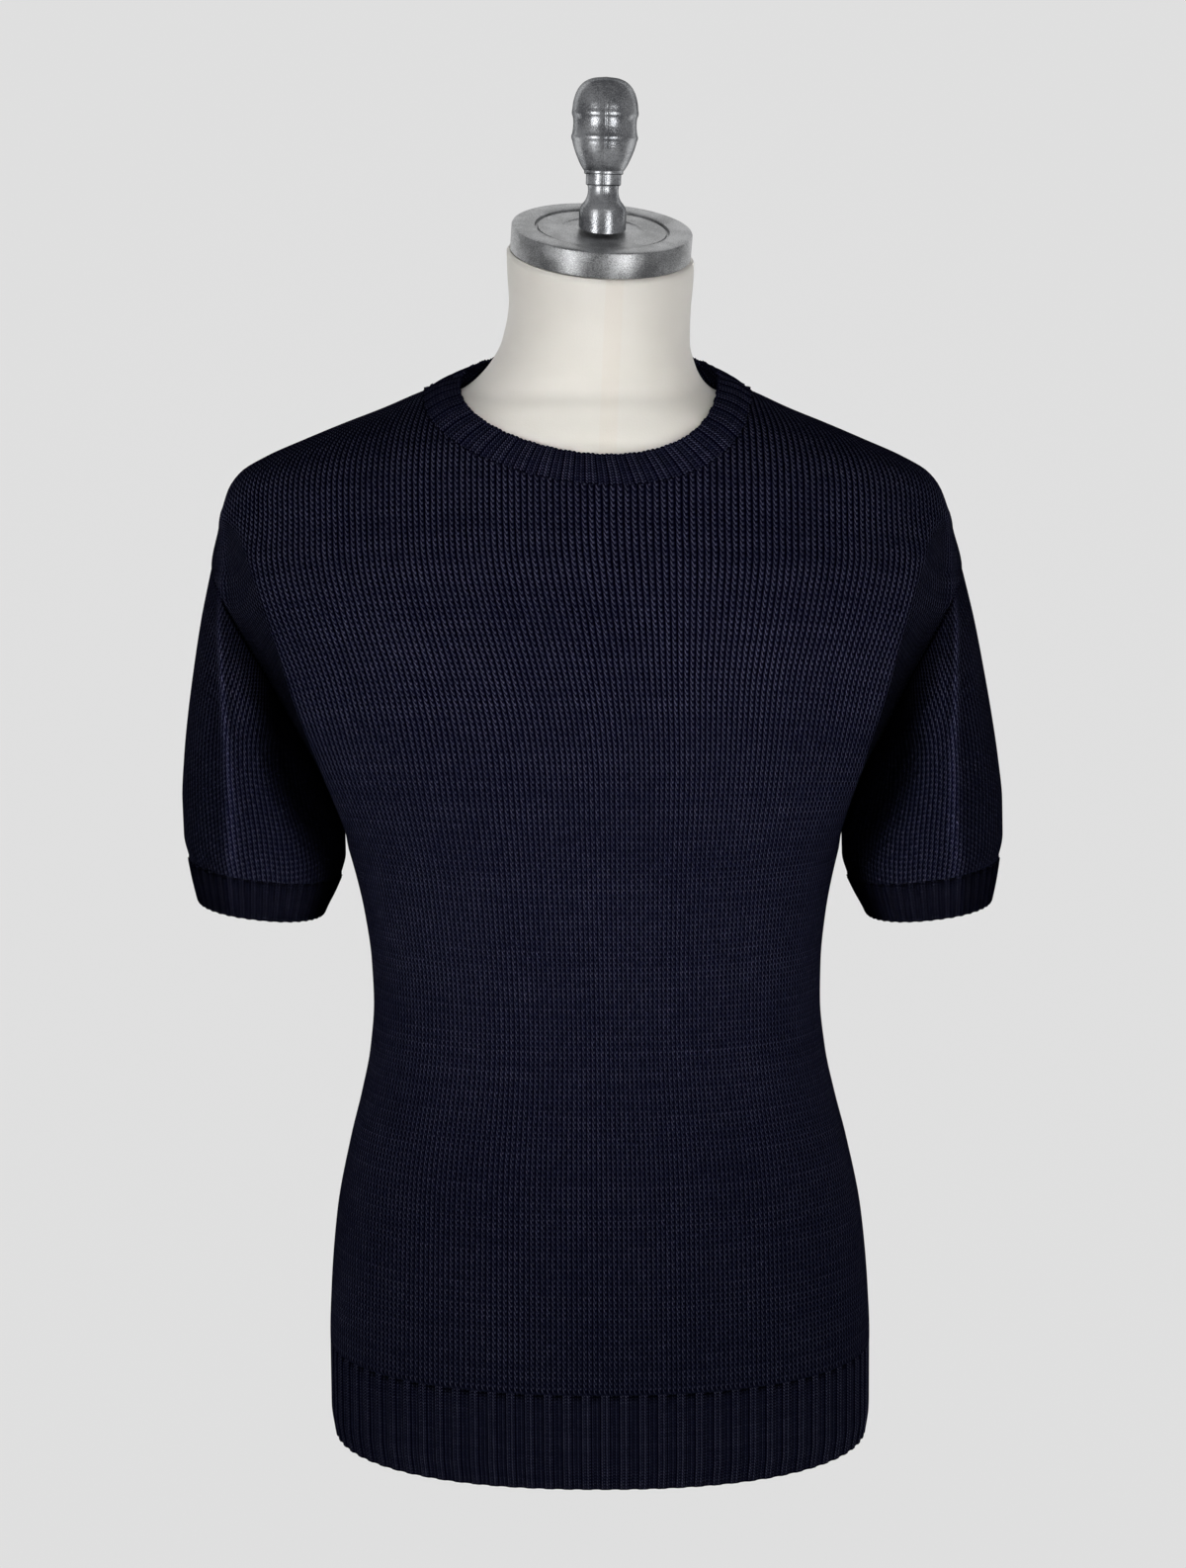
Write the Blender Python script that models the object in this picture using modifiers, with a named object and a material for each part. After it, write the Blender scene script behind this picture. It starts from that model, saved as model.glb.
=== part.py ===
"""Crew-neck, short-sleeved knitted top on a limbless tailor's bust, as a Blender 4.5 script.

Metres, +Z up. The bust stands on its flat base at z = 0 and faces -Y, and the wearer's left is +X.
Each cloth piece is an open panel laid out on the garment's form and given its wall by Solidify.
The garment's form is a stack of level sections, each half of which is a superellipse: the front
half runs forward of the seam line at SEAM_Y and the back half runs behind it.
"""

import math
from collections import namedtuple

import bmesh
import bpy
import numpy as np

MM = 0.001
COLLECTION = "knitted_top_on_bust"

# Driving sizes, in millimetres.
SEAM_Y = 10.0  # side seams and shoulder seams lie this far behind the axis
SEAM_GAP = 0.8  # on the outer face; the walls come about 0.3 from each other
RING_GAP = 1.0  # where a sleeve or the neckband starts from a curved seam
CORNER_GAP = 2.0  # more of it for the neckband at the neck points
BODY_WALL = 2.2  # plain knit
RIB_WALL = 2.8  # two-by-two rib, which is thicker
SQUARENESS = 2.25  # 2 is an ellipse, more is squarer
ROUND_ABOVE = 728.0  # the bust's neck is a true ellipse from here up

HEM_BOTTOM = 2.0
HEM_TOP = 65.3
NECK_POINT = 689.9  # where shoulder seam and neckband meet
NECK_HALF_WIDTH = 104.0
NECK_FRONT = 637.0  # height of the neck seam at the centre front
NECK_BACK = 693.9  # and at the centre back
LEVEL_BELOW = 300.0  # rows of a panel are level up to here, and follow the neck seam at the top

Section = namedtuple("Section", "height half_width front back")
BODY = (
    Section(2.0, 176.9, 135.5, 111.5),
    Section(20.0, 179.2, 136.0, 112.5),
    Section(67.7, 179.2, 136.0, 114.5),
    Section(99.0, 177.9, 134.0, 115.0),
    Section(149.9, 173.3, 128.0, 112.0),
    Section(200.5, 163.3, 120.0, 102.0),
    Section(230.3, 155.7, 116.0, 95.0),
    Section(259.9, 149.5, 114.0, 90.0),
    Section(293.6, 146.4, 114.0, 88.0),
    Section(320.0, 147.1, 116.0, 90.0),
    Section(349.3, 150.3, 120.0, 95.0),
    Section(390.6, 158.9, 127.0, 104.0),
    Section(451.7, 180.4, 132.0, 114.0),
    Section(513.3, 216.1, 131.0, 118.0),
    Section(574.4, 242.6, 122.0, 112.0),
    Section(600.5, 237.0, 115.0, 106.0),
    Section(617.1, 232.5, 108.0, 101.0),
    Section(627.2, 229.0, 103.5, 97.5),
    Section(637.5, 221.2, 99.5, 93.5),
    Section(647.7, 204.1, 95.0, 89.5),
    Section(657.8, 181.0, 90.0, 85.0),
    Section(667.9, 156.9, 82.5, 80.0),
    Section(678.1, 131.0, 71.0, 74.5),
    Section(689.9, 104.0, 42.0, 68.0),
    Section(693.8, 93.2, 30.0, 66.0),
)

# The bust under the cloth. Its neck rings lean forward, and tilt is in degrees, front down.
Ring = namedtuple("Ring", "height half_width front back middle tilt")
BUST = (
    Ring(0.0, 152.1, 112.0, 90.0, 10.0, 0.0),
    Ring(29.9, 164.0, 122.0, 100.0, 10.0, 0.0),
    Ring(67.7, 170.7, 128.0, 106.0, 10.0, 0.0),
    Ring(99.0, 170.3, 127.0, 108.0, 10.0, 0.0),
    Ring(149.9, 166.8, 122.0, 106.0, 10.0, 0.0),
    Ring(200.5, 157.8, 115.0, 97.0, 10.0, 0.0),
    Ring(230.3, 151.0, 111.5, 90.5, 10.0, 0.0),
    Ring(259.9, 145.5, 110.0, 86.0, 10.0, 0.0),
    Ring(293.6, 142.6, 110.2, 84.2, 10.0, 0.0),
    Ring(320.0, 143.4, 112.2, 86.2, 10.0, 0.0),
    Ring(349.3, 146.3, 116.0, 91.0, 10.0, 0.0),
    Ring(390.6, 153.4, 123.0, 100.0, 10.0, 0.0),
    Ring(451.7, 165.7, 128.0, 110.0, 10.0, 0.0),
    Ring(493.5, 177.0, 127.5, 113.0, 10.0, 0.0),
    Ring(533.0, 194.2, 124.5, 112.0, 10.0, 0.0),
    Ring(574.4, 213.3, 118.0, 108.0, 10.0, 0.0),
    Ring(600.5, 224.7, 111.0, 102.0, 10.0, 0.0),
    Ring(617.1, 225.4, 103.5, 96.5, 10.0, 0.0),
    Ring(627.2, 220.9, 98.8, 92.8, 10.0, 0.0),
    Ring(637.5, 209.0, 94.3, 88.5, 10.0, 0.0),
    Ring(647.7, 191.4, 87.0, 84.0, 10.0, 0.0),
    Ring(657.8, 168.9, 79.5, 79.0, 10.0, 0.0),
    Ring(667.9, 144.4, 75.0, 74.0, 10.0, 0.0),
    Ring(678.1, 115.7, 70.0, 68.0, 9.5, 1.0),
    Ring(684.6, 94.7, 67.0, 65.0, 9.0, 1.5),
    Ring(690.9, 79.6, 62.6, 60.7, 8.0, 2.0),
    Ring(698.1, 71.4, 59.7, 58.2, 6.5, 3.0),
    Ring(707.8, 65.0, 58.2, 56.3, 4.5, 4.5),
    Ring(720.3, 60.0, 58.2, 56.7, 2.0, 7.0),
    Ring(743.4, 57.8, 58.1, 58.1, -1.5, 11.0),
    Ring(763.5, 59.0, 59.0, 59.0, -6.5, 14.0),
    Ring(775.1, 59.3, 59.3, 59.3, -9.5, 15.0),
    Ring(776.8, 57.6, 57.6, 57.6, -10.0, 15.0),
)

# Sideways lean of the bust and of the top on it.
Lean = namedtuple("Lean", "height offset")
LEAN = (
    Lean(0.0, 1.2),
    Lean(251.8, -0.6),
    Lean(390.6, -3.3),
    Lean(483.5, -5.9),
    Lean(572.4, -7.8),
    Lean(650.6, -9.3),
    Lean(689.4, -7.3),
    Lean(713.6, -2.9),
    Lean(747.2, 0.6),
    Lean(795.1, 1.0),
)

# The armhole seam is an oval in a steep plane, scooped in towards the chest.
ARMHOLE_TOP = (242.6, 574.4)  # across, height
ARMHOLE_FOOT = (180.4, 451.7)
ARMHOLE_FRONT = 46.0  # forward of the seam line
ARMHOLE_BACK = 50.0
ARMHOLE_SCOOP = 20.0
EDGE_PULL = 6  # power of the share across; only a panel's edge is drawn in to the armhole

# Sleeve rings from the armhole to the top of the cuff. Outer and inner are on the seam line.
SleeveRing = namedtuple(
    "SleeveRing", "outer_x outer_z inner_x inner_z front back scoop ridge"
)
SLEEVE = (
    SleeveRing(242.6, 574.4, 180.4, 451.7, 46.0, 50.0, 20.0, 0.0),
    SleeveRing(249.7, 542.9, 179.5, 443.7, 62.0, 64.0, -3.0, 3.0),
    SleeveRing(255.0, 513.8, 175.7, 433.7, 66.0, 68.0, -8.0, 6.0),
    SleeveRing(259.9, 484.5, 171.9, 422.7, 66.0, 69.0, -9.0, 8.0),
    SleeveRing(264.0, 455.2, 168.0, 411.7, 64.0, 67.5, -8.0, 8.0),
    SleeveRing(266.7, 425.7, 165.2, 399.7, 61.0, 65.0, -6.0, 7.0),
    SleeveRing(266.8, 403.7, 163.8, 387.6, 59.0, 62.5, -4.0, 6.0),
    SleeveRing(263.7, 387.6, 167.2, 374.0, 56.0, 59.0, -2.0, 4.5),
)
CUFF = (
    SleeveRing(263.6, 386.8, 167.5, 373.2, 55.7, 58.6, -2.0, 4.3),
    SleeveRing(261.8, 375.5, 171.5, 363.4, 54.0, 56.5, -1.0, 2.5),
    SleeveRing(259.9, 366.0, 175.6, 354.9, 52.5, 54.5, 0.0, 1.0),
    SleeveRing(258.2, 358.7, 178.4, 348.9, 51.0, 53.0, 0.0, 0.0),
)
SLEEVE_SQUARENESS = 2.2
RIDGE_AT = 52.0  # degrees round from the outside towards the front
RIDGE_SPREAD = 20.0
RIDGE_OUT = 0.6  # share of the ridge's height that goes outwards
RIDGE_FORWARD = 0.8  # and forwards

# Neckband: its inner edge, from the front round to the back.
BAND_HALF_WIDTH = 82.7
BAND_WIDTH = 22.5  # from edge to edge
BAND_FRONT_Z = 654.4
BAND_SIDE_Z = 698.2
BAND_BACK_Z = 713.7
BAND_SWELL = 1.6  # how far the rib stands out between its two edges

# Neck cap and handle, both metal. Heights of the profiles are above the cap's top face.
CAP_TILT = 15.0  # degrees, front down
CAP_ROLL = 4.0  # and the wearer's left down
HANDLE_LEAN = 1.5  # towards the wearer's left
METAL_GAP = 0.35
CUTTER_SIZE = 120.0
Turned = namedtuple("Turned", "radius height")
CAP = (
    Turned(0.0, -2.3),
    Turned(24.6, -2.3),
    Turned(26.0, -0.9),
    Turned(41.1, -0.9),
    Turned(41.7, -1.5),
    Turned(42.6, -1.5),
    Turned(43.2, 0.0),
    Turned(56.1, 0.0),
    Turned(57.3, -1.2),
    Turned(57.3, -15.9),
    Turned(56.5, -16.6),
    Turned(0.0, -16.6),
)
HANDLE = (
    Turned(0.0, 93.7),
    Turned(7.0, 93.0),
    Turned(12.5, 91.0),
    Turned(16.9, 86.8),
    Turned(19.2, 81.9),
    Turned(20.4, 76.9),
    Turned(20.9, 71.9),
    Turned(21.1, 69.7),
    Turned(20.5, 67.2),
    Turned(19.8, 64.0),
    Turned(20.2, 60.4),
    Turned(20.9, 57.7),
    Turned(21.1, 55.7),
    Turned(20.4, 52.4),
    Turned(18.9, 48.5),
    Turned(17.1, 43.9),
    Turned(14.8, 39.0),
    Turned(12.6, 35.4),
    Turned(12.3, 33.5),
    Turned(11.1, 32.4),
    Turned(11.1, 26.9),
    Turned(10.0, 25.6),
    Turned(9.7, 21.4),
    Turned(11.2, 17.0),
    Turned(13.4, 14.4),
    Turned(14.5, 11.9),
    Turned(14.8, 9.1),
    Turned(14.8, -8.0),
    Turned(0.0, -8.0),
)
TURNING_STEPS = 24

# Facets.
ACROSS_PANEL = 22
END_CROWDING = 0.4  # columns lie closer together towards the side seams
ROWS_BELOW_ARMHOLE = 11
ROWS_ROUND_ARMHOLE = 10
ROWS_ABOVE_ARMHOLE = 11
ROWS_IN_RIB = 3
ROUND_BUST = 40
ROWS_IN_BAND = 3


def curve_through(rows, name):
    """A smooth function of height through one column of a table, which never overshoots its rows."""
    at = np.array([row.height for row in rows], float)
    value = np.array([getattr(row, name) for row in rows], float)
    step = np.diff(at)
    slope = np.diff(value) / step
    tangent = np.zeros(len(at))
    tangent[0], tangent[-1] = slope[0], slope[-1]
    for i in range(1, len(at) - 1):
        if slope[i - 1] * slope[i] > 0:
            before = 2 * step[i] + step[i - 1]
            after = step[i] + 2 * step[i - 1]
            tangent[i] = (before + after) / (before / slope[i - 1] + after / slope[i])

    def value_at(height):
        height = min(max(height, at[0]), at[-1])
        i = min(int(np.searchsorted(at, height, side="right")) - 1, len(step) - 1)
        t = (height - at[i]) / step[i]
        near = value[i] * (1 + 2 * t) * (1 - t) ** 2 + step[i] * tangent[i] * t * (1 - t) ** 2
        far = value[i + 1] * t * t * (3 - 2 * t) - step[i] * tangent[i + 1] * t * t * (1 - t)
        return near + far

    return value_at


half_width_at = curve_through(BODY, "half_width")
depth_at = {-1: curve_through(BODY, "front"), 1: curve_through(BODY, "back")}
lean_at = curve_through(LEAN, "offset")


def placed(x, y, z):
    """A point of the garment or bust in metres, with the lean of its height."""
    return ((x + lean_at(z)) * MM, y * MM, z * MM)


def power(value, exponent):
    return math.copysign(abs(value) ** exponent, value)


def armhole_point(facing, angle):
    """The armhole seam on the +X side: angle 0 is its top and 180 its foot, facing -1 is its front half."""
    up = math.cos(math.radians(angle))
    out = math.sin(math.radians(angle))
    reach = ARMHOLE_FRONT if facing < 0 else ARMHOLE_BACK
    x = (ARMHOLE_TOP[0] + ARMHOLE_FOOT[0]) / 2 + up * (ARMHOLE_TOP[0] - ARMHOLE_FOOT[0]) / 2
    z = (ARMHOLE_TOP[1] + ARMHOLE_FOOT[1]) / 2 + up * (ARMHOLE_TOP[1] - ARMHOLE_FOOT[1]) / 2
    return x - ARMHOLE_SCOOP * out * out, SEAM_Y + facing * reach * out, z


def section_end(facing, height):
    """(angle at which a panel ends on its section, how far its edge is drawn in) at one height."""
    exponent = SQUARENESS / 2
    low, high = ARMHOLE_FOOT[1], ARMHOLE_TOP[1]
    if not low < height < high:
        return math.pi / 2, 0.0
    up = (2 * height - low - high) / (high - low)
    x, y, _ = armhole_point(facing, math.degrees(math.acos(up)))
    end = math.acos((abs(y - SEAM_Y) / depth_at[facing](height)) ** exponent)
    return end, half_width_at(height) * math.sin(end) ** (1 / exponent) - x


def body_point(facing, angle, height):
    """A point of the garment's form: angle 0 is the centre front or back, +-90 degrees its side."""
    exponent = 2 / SQUARENESS
    x = half_width_at(height) * power(math.sin(angle), exponent)
    y = SEAM_Y + facing * depth_at[facing](height) * max(math.cos(angle), 0.0) ** exponent
    return x, y + facing * SEAM_GAP / 2, height


def angle_across(across, height):
    """The section's angle at which the form is this far from the middle."""
    sine = min(abs(across) / half_width_at(height), 1.0) ** (SQUARENESS / 2)
    return math.copysign(math.asin(sine), across)


def neck_seam(facing, share):
    """Across and height of the seam between body and neckband; share runs from -1 to 1 across."""
    turn = share * math.pi / 2
    middle = NECK_FRONT if facing < 0 else NECK_BACK
    return NECK_HALF_WIDTH * math.sin(turn), NECK_POINT + (middle - NECK_POINT) * math.cos(turn)


def panel_shares():
    """Where a panel's columns lie, from -1 at one side to 1 at the other."""
    even = np.linspace(-1, 1, ACROSS_PANEL + 1)
    return (1 + END_CROWDING) * even - END_CROWDING * even**3


def shoulder_levels():
    """Heights from the top of the armhole to the neck point, evenly spaced along the seam."""
    fine = np.linspace(ARMHOLE_TOP[1], NECK_POINT, 200)
    across = np.array([half_width_at(height) for height in fine])
    travelled = np.cumsum(np.hypot(np.diff(fine), np.diff(across)))
    travelled = np.concatenate(([0.0], travelled))
    stops = np.linspace(0, travelled[-1], ROWS_ABOVE_ARMHOLE + 1)
    return np.interp(stops, travelled, fine)


def panel_levels():
    """Heights of a panel's rows along its side: side seam, armhole, shoulder seam."""
    side = np.linspace(HEM_TOP + SEAM_GAP, ARMHOLE_FOOT[1], ROWS_BELOW_ARMHOLE + 1)
    middle = (ARMHOLE_TOP[1] + ARMHOLE_FOOT[1]) / 2
    rise = (ARMHOLE_TOP[1] - ARMHOLE_FOOT[1]) / 2
    steps = np.linspace(math.pi, 0, ROWS_ROUND_ARMHOLE + 1)
    armhole = middle + rise * np.cos(steps)
    return [*side, *armhole[1:], *shoulder_levels()[1:]]


def panel_point(facing, share, side_height):
    """A body panel's point: share runs from -1 to 1 across it, and side_height names its row."""
    rise = min(max((side_height - LEVEL_BELOW) / (NECK_POINT - LEVEL_BELOW), 0.0), 1.0)
    middle = NECK_FRONT if facing < 0 else NECK_BACK
    across_x, across_z = neck_seam(facing, share)
    swing = 1 - math.cos(share * math.pi / 2)
    height = side_height + (middle - NECK_POINT) * rise**2 * (1 - swing)
    end, draw_in = section_end(facing, height)
    angle = share * math.pi / 2 * (1 - rise**3) + angle_across(across_x, across_z) * rise**3
    angle -= (math.pi / 2 - end) * share * abs(share)
    x, y, z = body_point(facing, angle, height)
    return x - math.copysign(draw_in * abs(share) ** EDGE_PULL, share), y, z


def sleeve_ring(row, angle):
    """A point on a sleeve ring of the +X side: 0 is the outside, 90 the front, 180 the inside."""
    exponent = 2 / SLEEVE_SQUARENESS
    out = power(math.cos(math.radians(angle)), exponent)
    turn = math.sin(math.radians(angle))
    reach = row.front if turn >= 0 else row.back
    off = (angle - RIDGE_AT + 180) % 360 - 180
    ridge = row.ridge * math.exp(-((off / RIDGE_SPREAD) ** 2))
    x = (row.outer_x + row.inner_x) / 2 + out * (row.outer_x - row.inner_x) / 2
    z = (row.outer_z + row.inner_z) / 2 + out * (row.outer_z - row.inner_z) / 2
    x += ridge * RIDGE_OUT - row.scoop * turn * turn
    y = SEAM_Y - reach * power(turn, exponent) - ridge * RIDGE_FORWARD
    return x, y, z


def new_object(name, mesh, material):
    obj = bpy.data.objects.new(name, mesh)
    bpy.data.collections[COLLECTION].objects.link(obj)
    mesh.materials.append(material)
    for polygon in mesh.polygons:
        polygon.use_smooth = True
    return obj


def skinned(name, rows, closed, material, cap_ends=False):
    """A loft through rows of points that all have the same count, as an object."""
    bm = bmesh.new()
    lines = [[bm.verts.new(point) for point in row] for row in rows]
    count = len(rows[0])
    spans = count if closed else count - 1
    for low, high in zip(lines, lines[1:]):
        for i in range(spans):
            j = (i + 1) % count
            bm.faces.new((low[i], low[j], high[j], high[i]))
    if cap_ends:
        bm.faces.new(lines[0][::-1])
        bm.faces.new(lines[-1])
    mesh = bpy.data.meshes.new(name)
    bm.to_mesh(mesh)
    bm.free()
    return new_object(name, mesh, material)


def give_wall(obj, thickness):
    """Cloth thickness, inwards from the outer face."""
    wall = obj.modifiers.new("wall", "SOLIDIFY")
    wall.thickness = thickness * MM
    wall.offset = -1.0
    wall.use_quality_normals = True


def material_of(name, colour, roughness, metallic=0.0):
    material = bpy.data.materials.new(name)
    material.use_nodes = True
    shader = material.node_tree.nodes["Principled BSDF"]
    shader.inputs["Base Color"].default_value = (*colour, 1.0)
    shader.inputs["Roughness"].default_value = roughness
    shader.inputs["Metallic"].default_value = metallic
    return material


def body_panel(name, facing, material):
    """Front or back, from the top of the hem rib to the shoulder seams and the neck seam."""
    shares = panel_shares() * -facing
    rows = [
        [placed(*panel_point(facing, share, level)) for share in shares]
        for level in panel_levels()
    ]
    panel = skinned(name, rows, False, material)
    give_wall(panel, BODY_WALL)
    return panel


def hem_rib(name, facing, material):
    angles = panel_shares() * -facing * math.pi / 2
    levels = np.linspace(HEM_BOTTOM, HEM_TOP, ROWS_IN_RIB + 1)
    rows = [[placed(*body_point(facing, angle, level)) for angle in angles] for level in levels]
    rib = skinned(name, rows, False, material)
    give_wall(rib, RIB_WALL)
    return rib


def sleeve_rows(rings, first_gap):
    """Rows of ring points for the +X sleeve, the first one moved off the seam by a gap."""
    angles = [360 * i / (2 * ROWS_ROUND_ARMHOLE) for i in range(2 * ROWS_ROUND_ARMHOLE)]
    rows = [[np.array(sleeve_ring(ring, angle)) for angle in angles] for ring in rings]
    if first_gap:
        first = []
        for angle, after in zip(angles, rows[1]):
            facing = -1 if angle <= 180 else 1
            seam = np.array(armhole_point(facing, angle if angle <= 180 else 360 - angle))
            along = after - seam
            inside = (1 - math.cos(math.radians(angle))) / 2
            off_side = np.array((first_gap * inside, 0.0, 0.0))
            first.append(seam + along * first_gap / np.linalg.norm(along) + off_side)
        rows[0] = first
    return rows


def sleeve_piece(name, side, rings, first_gap, wall, material):
    """A sleeve or cuff: side is +1 or -1, and its rings run downwards."""
    rows = []
    for row in sleeve_rows(rings, first_gap):
        points = [placed(side * x, y, z) for x, y, z in row]
        rows.append(points[::side])
    piece = skinned(name, rows, True, material)
    give_wall(piece, wall)
    return piece


def band_seam(facing, share):
    """Outer edge of the neckband, on the body's form."""
    x, z = neck_seam(facing, share)
    return np.array(body_point(facing, angle_across(x, z), z))


def band_edge(facing, share):
    """Inner edge of the neckband, a band's width from its seam."""
    turn = share * math.pi / 2
    middle = BAND_FRONT_Z if facing < 0 else BAND_BACK_Z
    seam = band_seam(facing, share)
    x = BAND_HALF_WIDTH * math.sin(turn)
    z = BAND_SIDE_Z + (middle - BAND_SIDE_Z) * math.cos(turn)
    left = BAND_WIDTH**2 - (x - seam[0]) ** 2 - (z - seam[2]) ** 2
    return np.array((x, seam[1] - facing * math.sqrt(max(left, 0.0)), z))


def neckband(material):
    stations = [(-1, share) for share in panel_shares()[:-1]]
    stations += [(1, share) for share in panel_shares()[:0:-1]]
    rows = []
    for k in range(ROWS_IN_BAND + 1):
        share_up = k / ROWS_IN_BAND
        row = []
        for facing, share in stations:
            seam, edge = band_seam(facing, share), band_edge(facing, share)
            across = edge - seam
            width = np.linalg.norm(across)
            start = (RING_GAP + CORNER_GAP * share**8) / width
            turn = share * math.pi / 2
            along = np.array((math.cos(turn), facing * math.sin(turn), 0.0)) * -facing
            swell = np.cross(along, across / width)
            point = seam + across * (start + (1 - start) * share_up)
            point = point + swell * BAND_SWELL * math.sin(math.pi * share_up)
            row.append(placed(*point))
        rows.append(row)
    band = skinned("neckband", rows, True, material)
    give_wall(band, RIB_WALL)
    return band


def bust_rows():
    """Rings of the bust, from its base to the top of its neck."""
    names = ("half_width", "front", "back", "middle", "tilt")
    values = {name: curve_through(BUST, name) for name in names}
    exponent = 2 / SQUARENESS
    rows = []
    for ring in BUST:
        at = {name: values[name](ring.height) for name in names}
        tilt = math.radians(at["tilt"])
        roll = math.radians(CAP_ROLL) * (at["tilt"] / CAP_TILT) ** 2
        round_off = 1 if ring.height > ROUND_ABOVE else exponent
        row = []
        for i in range(ROUND_BUST):
            angle = 2 * math.pi * i / ROUND_BUST
            x = at["half_width"] * power(math.sin(angle), round_off)
            reach = at["front"] if math.cos(angle) > 0 else at["back"]
            forward = -reach * power(math.cos(angle), round_off)
            y = at["middle"] + forward * math.cos(tilt)
            z = ring.height + forward * math.sin(tilt) - x * math.tan(roll)
            row.append(((x + lean_at(ring.height)) * MM, y * MM, z * MM))
        rows.append(row)
    return rows


def bust_form(material):
    form = skinned("bust_form", bust_rows(), True, material, cap_ends=True)
    form.data.shade_smooth()
    form.data.set_sharp_from_angle(angle=math.radians(50))
    return form


def turned_object(name, profile, material):
    """A profile spun about the upright axis through the object's origin."""
    mesh = bpy.data.meshes.new(name)
    points = [(p.radius * MM, 0.0, p.height * MM) for p in profile]
    mesh.from_pydata(points, [(i, i + 1) for i in range(len(points) - 1)], [])
    obj = new_object(name, mesh, material)
    spin = obj.modifiers.new("spin", "SCREW")
    spin.steps = TURNING_STEPS
    spin.render_steps = TURNING_STEPS
    spin.use_merge_vertices = True
    spin.merge_threshold = 0.00001
    spin.use_normal_calculate = False
    spin.use_smooth_shade = True
    return obj


def above_neck(rise):
    """A point in metres this far above the centre of the neck's top, square to it."""
    top = BUST[-1]
    tilt, roll = math.radians(CAP_TILT), math.radians(CAP_ROLL)
    return (
        (lean_at(top.height) + rise * math.cos(tilt) * math.sin(roll)) * MM,
        (top.middle - rise * math.sin(tilt)) * MM,
        (top.height + rise * math.cos(tilt) * math.cos(roll)) * MM,
    )


def cap_centre():
    """Centre of the cap's top face: a small gap and the cap's thickness above the neck."""
    return above_neck(METAL_GAP - CAP[-1].height)


def neck_cap(material):
    cap = turned_object("neck_cap", CAP, material)
    cap.location = cap_centre()
    cap.rotation_euler = (math.radians(CAP_TILT), math.radians(CAP_ROLL), 0.0)
    return cap


def cap_handle(material):
    """The turned handle stands nearly upright, its foot cut to the slope of the cap's recess."""
    handle = turned_object("cap_handle", HANDLE, material)
    handle.location = cap_centre()
    handle.rotation_euler = (0.0, math.radians(HANDLE_LEAN), 0.0)
    bpy.ops.mesh.primitive_cube_add(size=CUTTER_SIZE * MM)
    cutter = bpy.context.object
    cutter.name = "handle_foot_cutter"
    for collection in cutter.users_collection:
        collection.objects.unlink(cutter)
    bpy.data.collections["cutters"].objects.link(cutter)
    recess = METAL_GAP - CAP[-1].height + CAP[0].height
    cutter.location = above_neck(recess + METAL_GAP - CUTTER_SIZE / 2)
    cutter.rotation_euler = (math.radians(CAP_TILT), math.radians(CAP_ROLL), 0.0)
    cutter.hide_render = True
    cutter.display_type = "WIRE"
    foot = handle.modifiers.new("foot", "BOOLEAN")
    foot.operation = "DIFFERENCE"
    foot.object = cutter
    return handle


def main():
    for obj in list(bpy.data.objects):
        bpy.data.objects.remove(obj, do_unlink=True)
    for name in (COLLECTION, "cutters"):
        bpy.context.scene.collection.children.link(bpy.data.collections.new(name))

    knit = material_of("navy plain knit", (0.0065, 0.0085, 0.022), 0.85)
    rib = material_of("navy two-by-two rib", (0.007, 0.0095, 0.025), 0.85)
    cover = material_of("cream stretch cover", (0.73, 0.70, 0.62), 0.8)
    metal = material_of("cast aluminium", (0.35, 0.36, 0.37), 0.38, metallic=1.0)

    body_panel("front", -1, knit)
    body_panel("back", 1, knit)
    hem_rib("hem_rib_front", -1, rib)
    hem_rib("hem_rib_back", 1, rib)
    neckband(rib)
    for side, word in ((1, "left"), (-1, "right")):
        sleeve_piece(f"sleeve_{word}", side, SLEEVE, RING_GAP, BODY_WALL, knit)
        sleeve_piece(f"cuff_{word}", side, CUFF, 0.0, RIB_WALL, rib)
    bust_form(cover)
    neck_cap(metal)
    cap_handle(metal)


main()
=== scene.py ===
# %% [markdown]
# # A knitted top on a tailor's bust
# The top is navy cotton, knitted plain, with two-by-two rib at its neck, cuffs and hem. It is worn by
# a limbless bust in a cream stretch cover, closed at the neck by a cast metal cap with a turned handle.
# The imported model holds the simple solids. Here each one gets its finished form: a thin shell of cloth
# for every knitted piece, laid out by the same sections as its solid, and lathe-turned metal on top.

# %% The fixed frame
import math
from collections import namedtuple
from functools import partial

import bmesh
import bpy
import numpy as np
from mathutils import Euler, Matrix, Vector


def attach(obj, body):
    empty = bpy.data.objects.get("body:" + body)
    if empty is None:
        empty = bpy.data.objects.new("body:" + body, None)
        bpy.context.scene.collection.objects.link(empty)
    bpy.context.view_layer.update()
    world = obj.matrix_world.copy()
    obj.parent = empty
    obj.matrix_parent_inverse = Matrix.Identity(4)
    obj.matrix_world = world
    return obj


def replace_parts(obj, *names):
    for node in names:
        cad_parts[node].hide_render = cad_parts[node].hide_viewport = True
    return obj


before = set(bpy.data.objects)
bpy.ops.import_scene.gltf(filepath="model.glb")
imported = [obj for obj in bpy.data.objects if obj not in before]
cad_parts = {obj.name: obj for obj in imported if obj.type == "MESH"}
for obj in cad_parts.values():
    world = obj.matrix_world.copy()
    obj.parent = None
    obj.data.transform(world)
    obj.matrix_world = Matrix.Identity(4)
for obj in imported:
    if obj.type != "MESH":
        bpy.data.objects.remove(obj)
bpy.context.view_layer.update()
MM = 0.001
MERGE = 0.02 * MM
print("solids:", ", ".join(sorted(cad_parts)))


def table(kind, *rows):
    """Rows of numbers as named tuples, so that each column has its name."""
    return [kind(*row) for row in rows]


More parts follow.
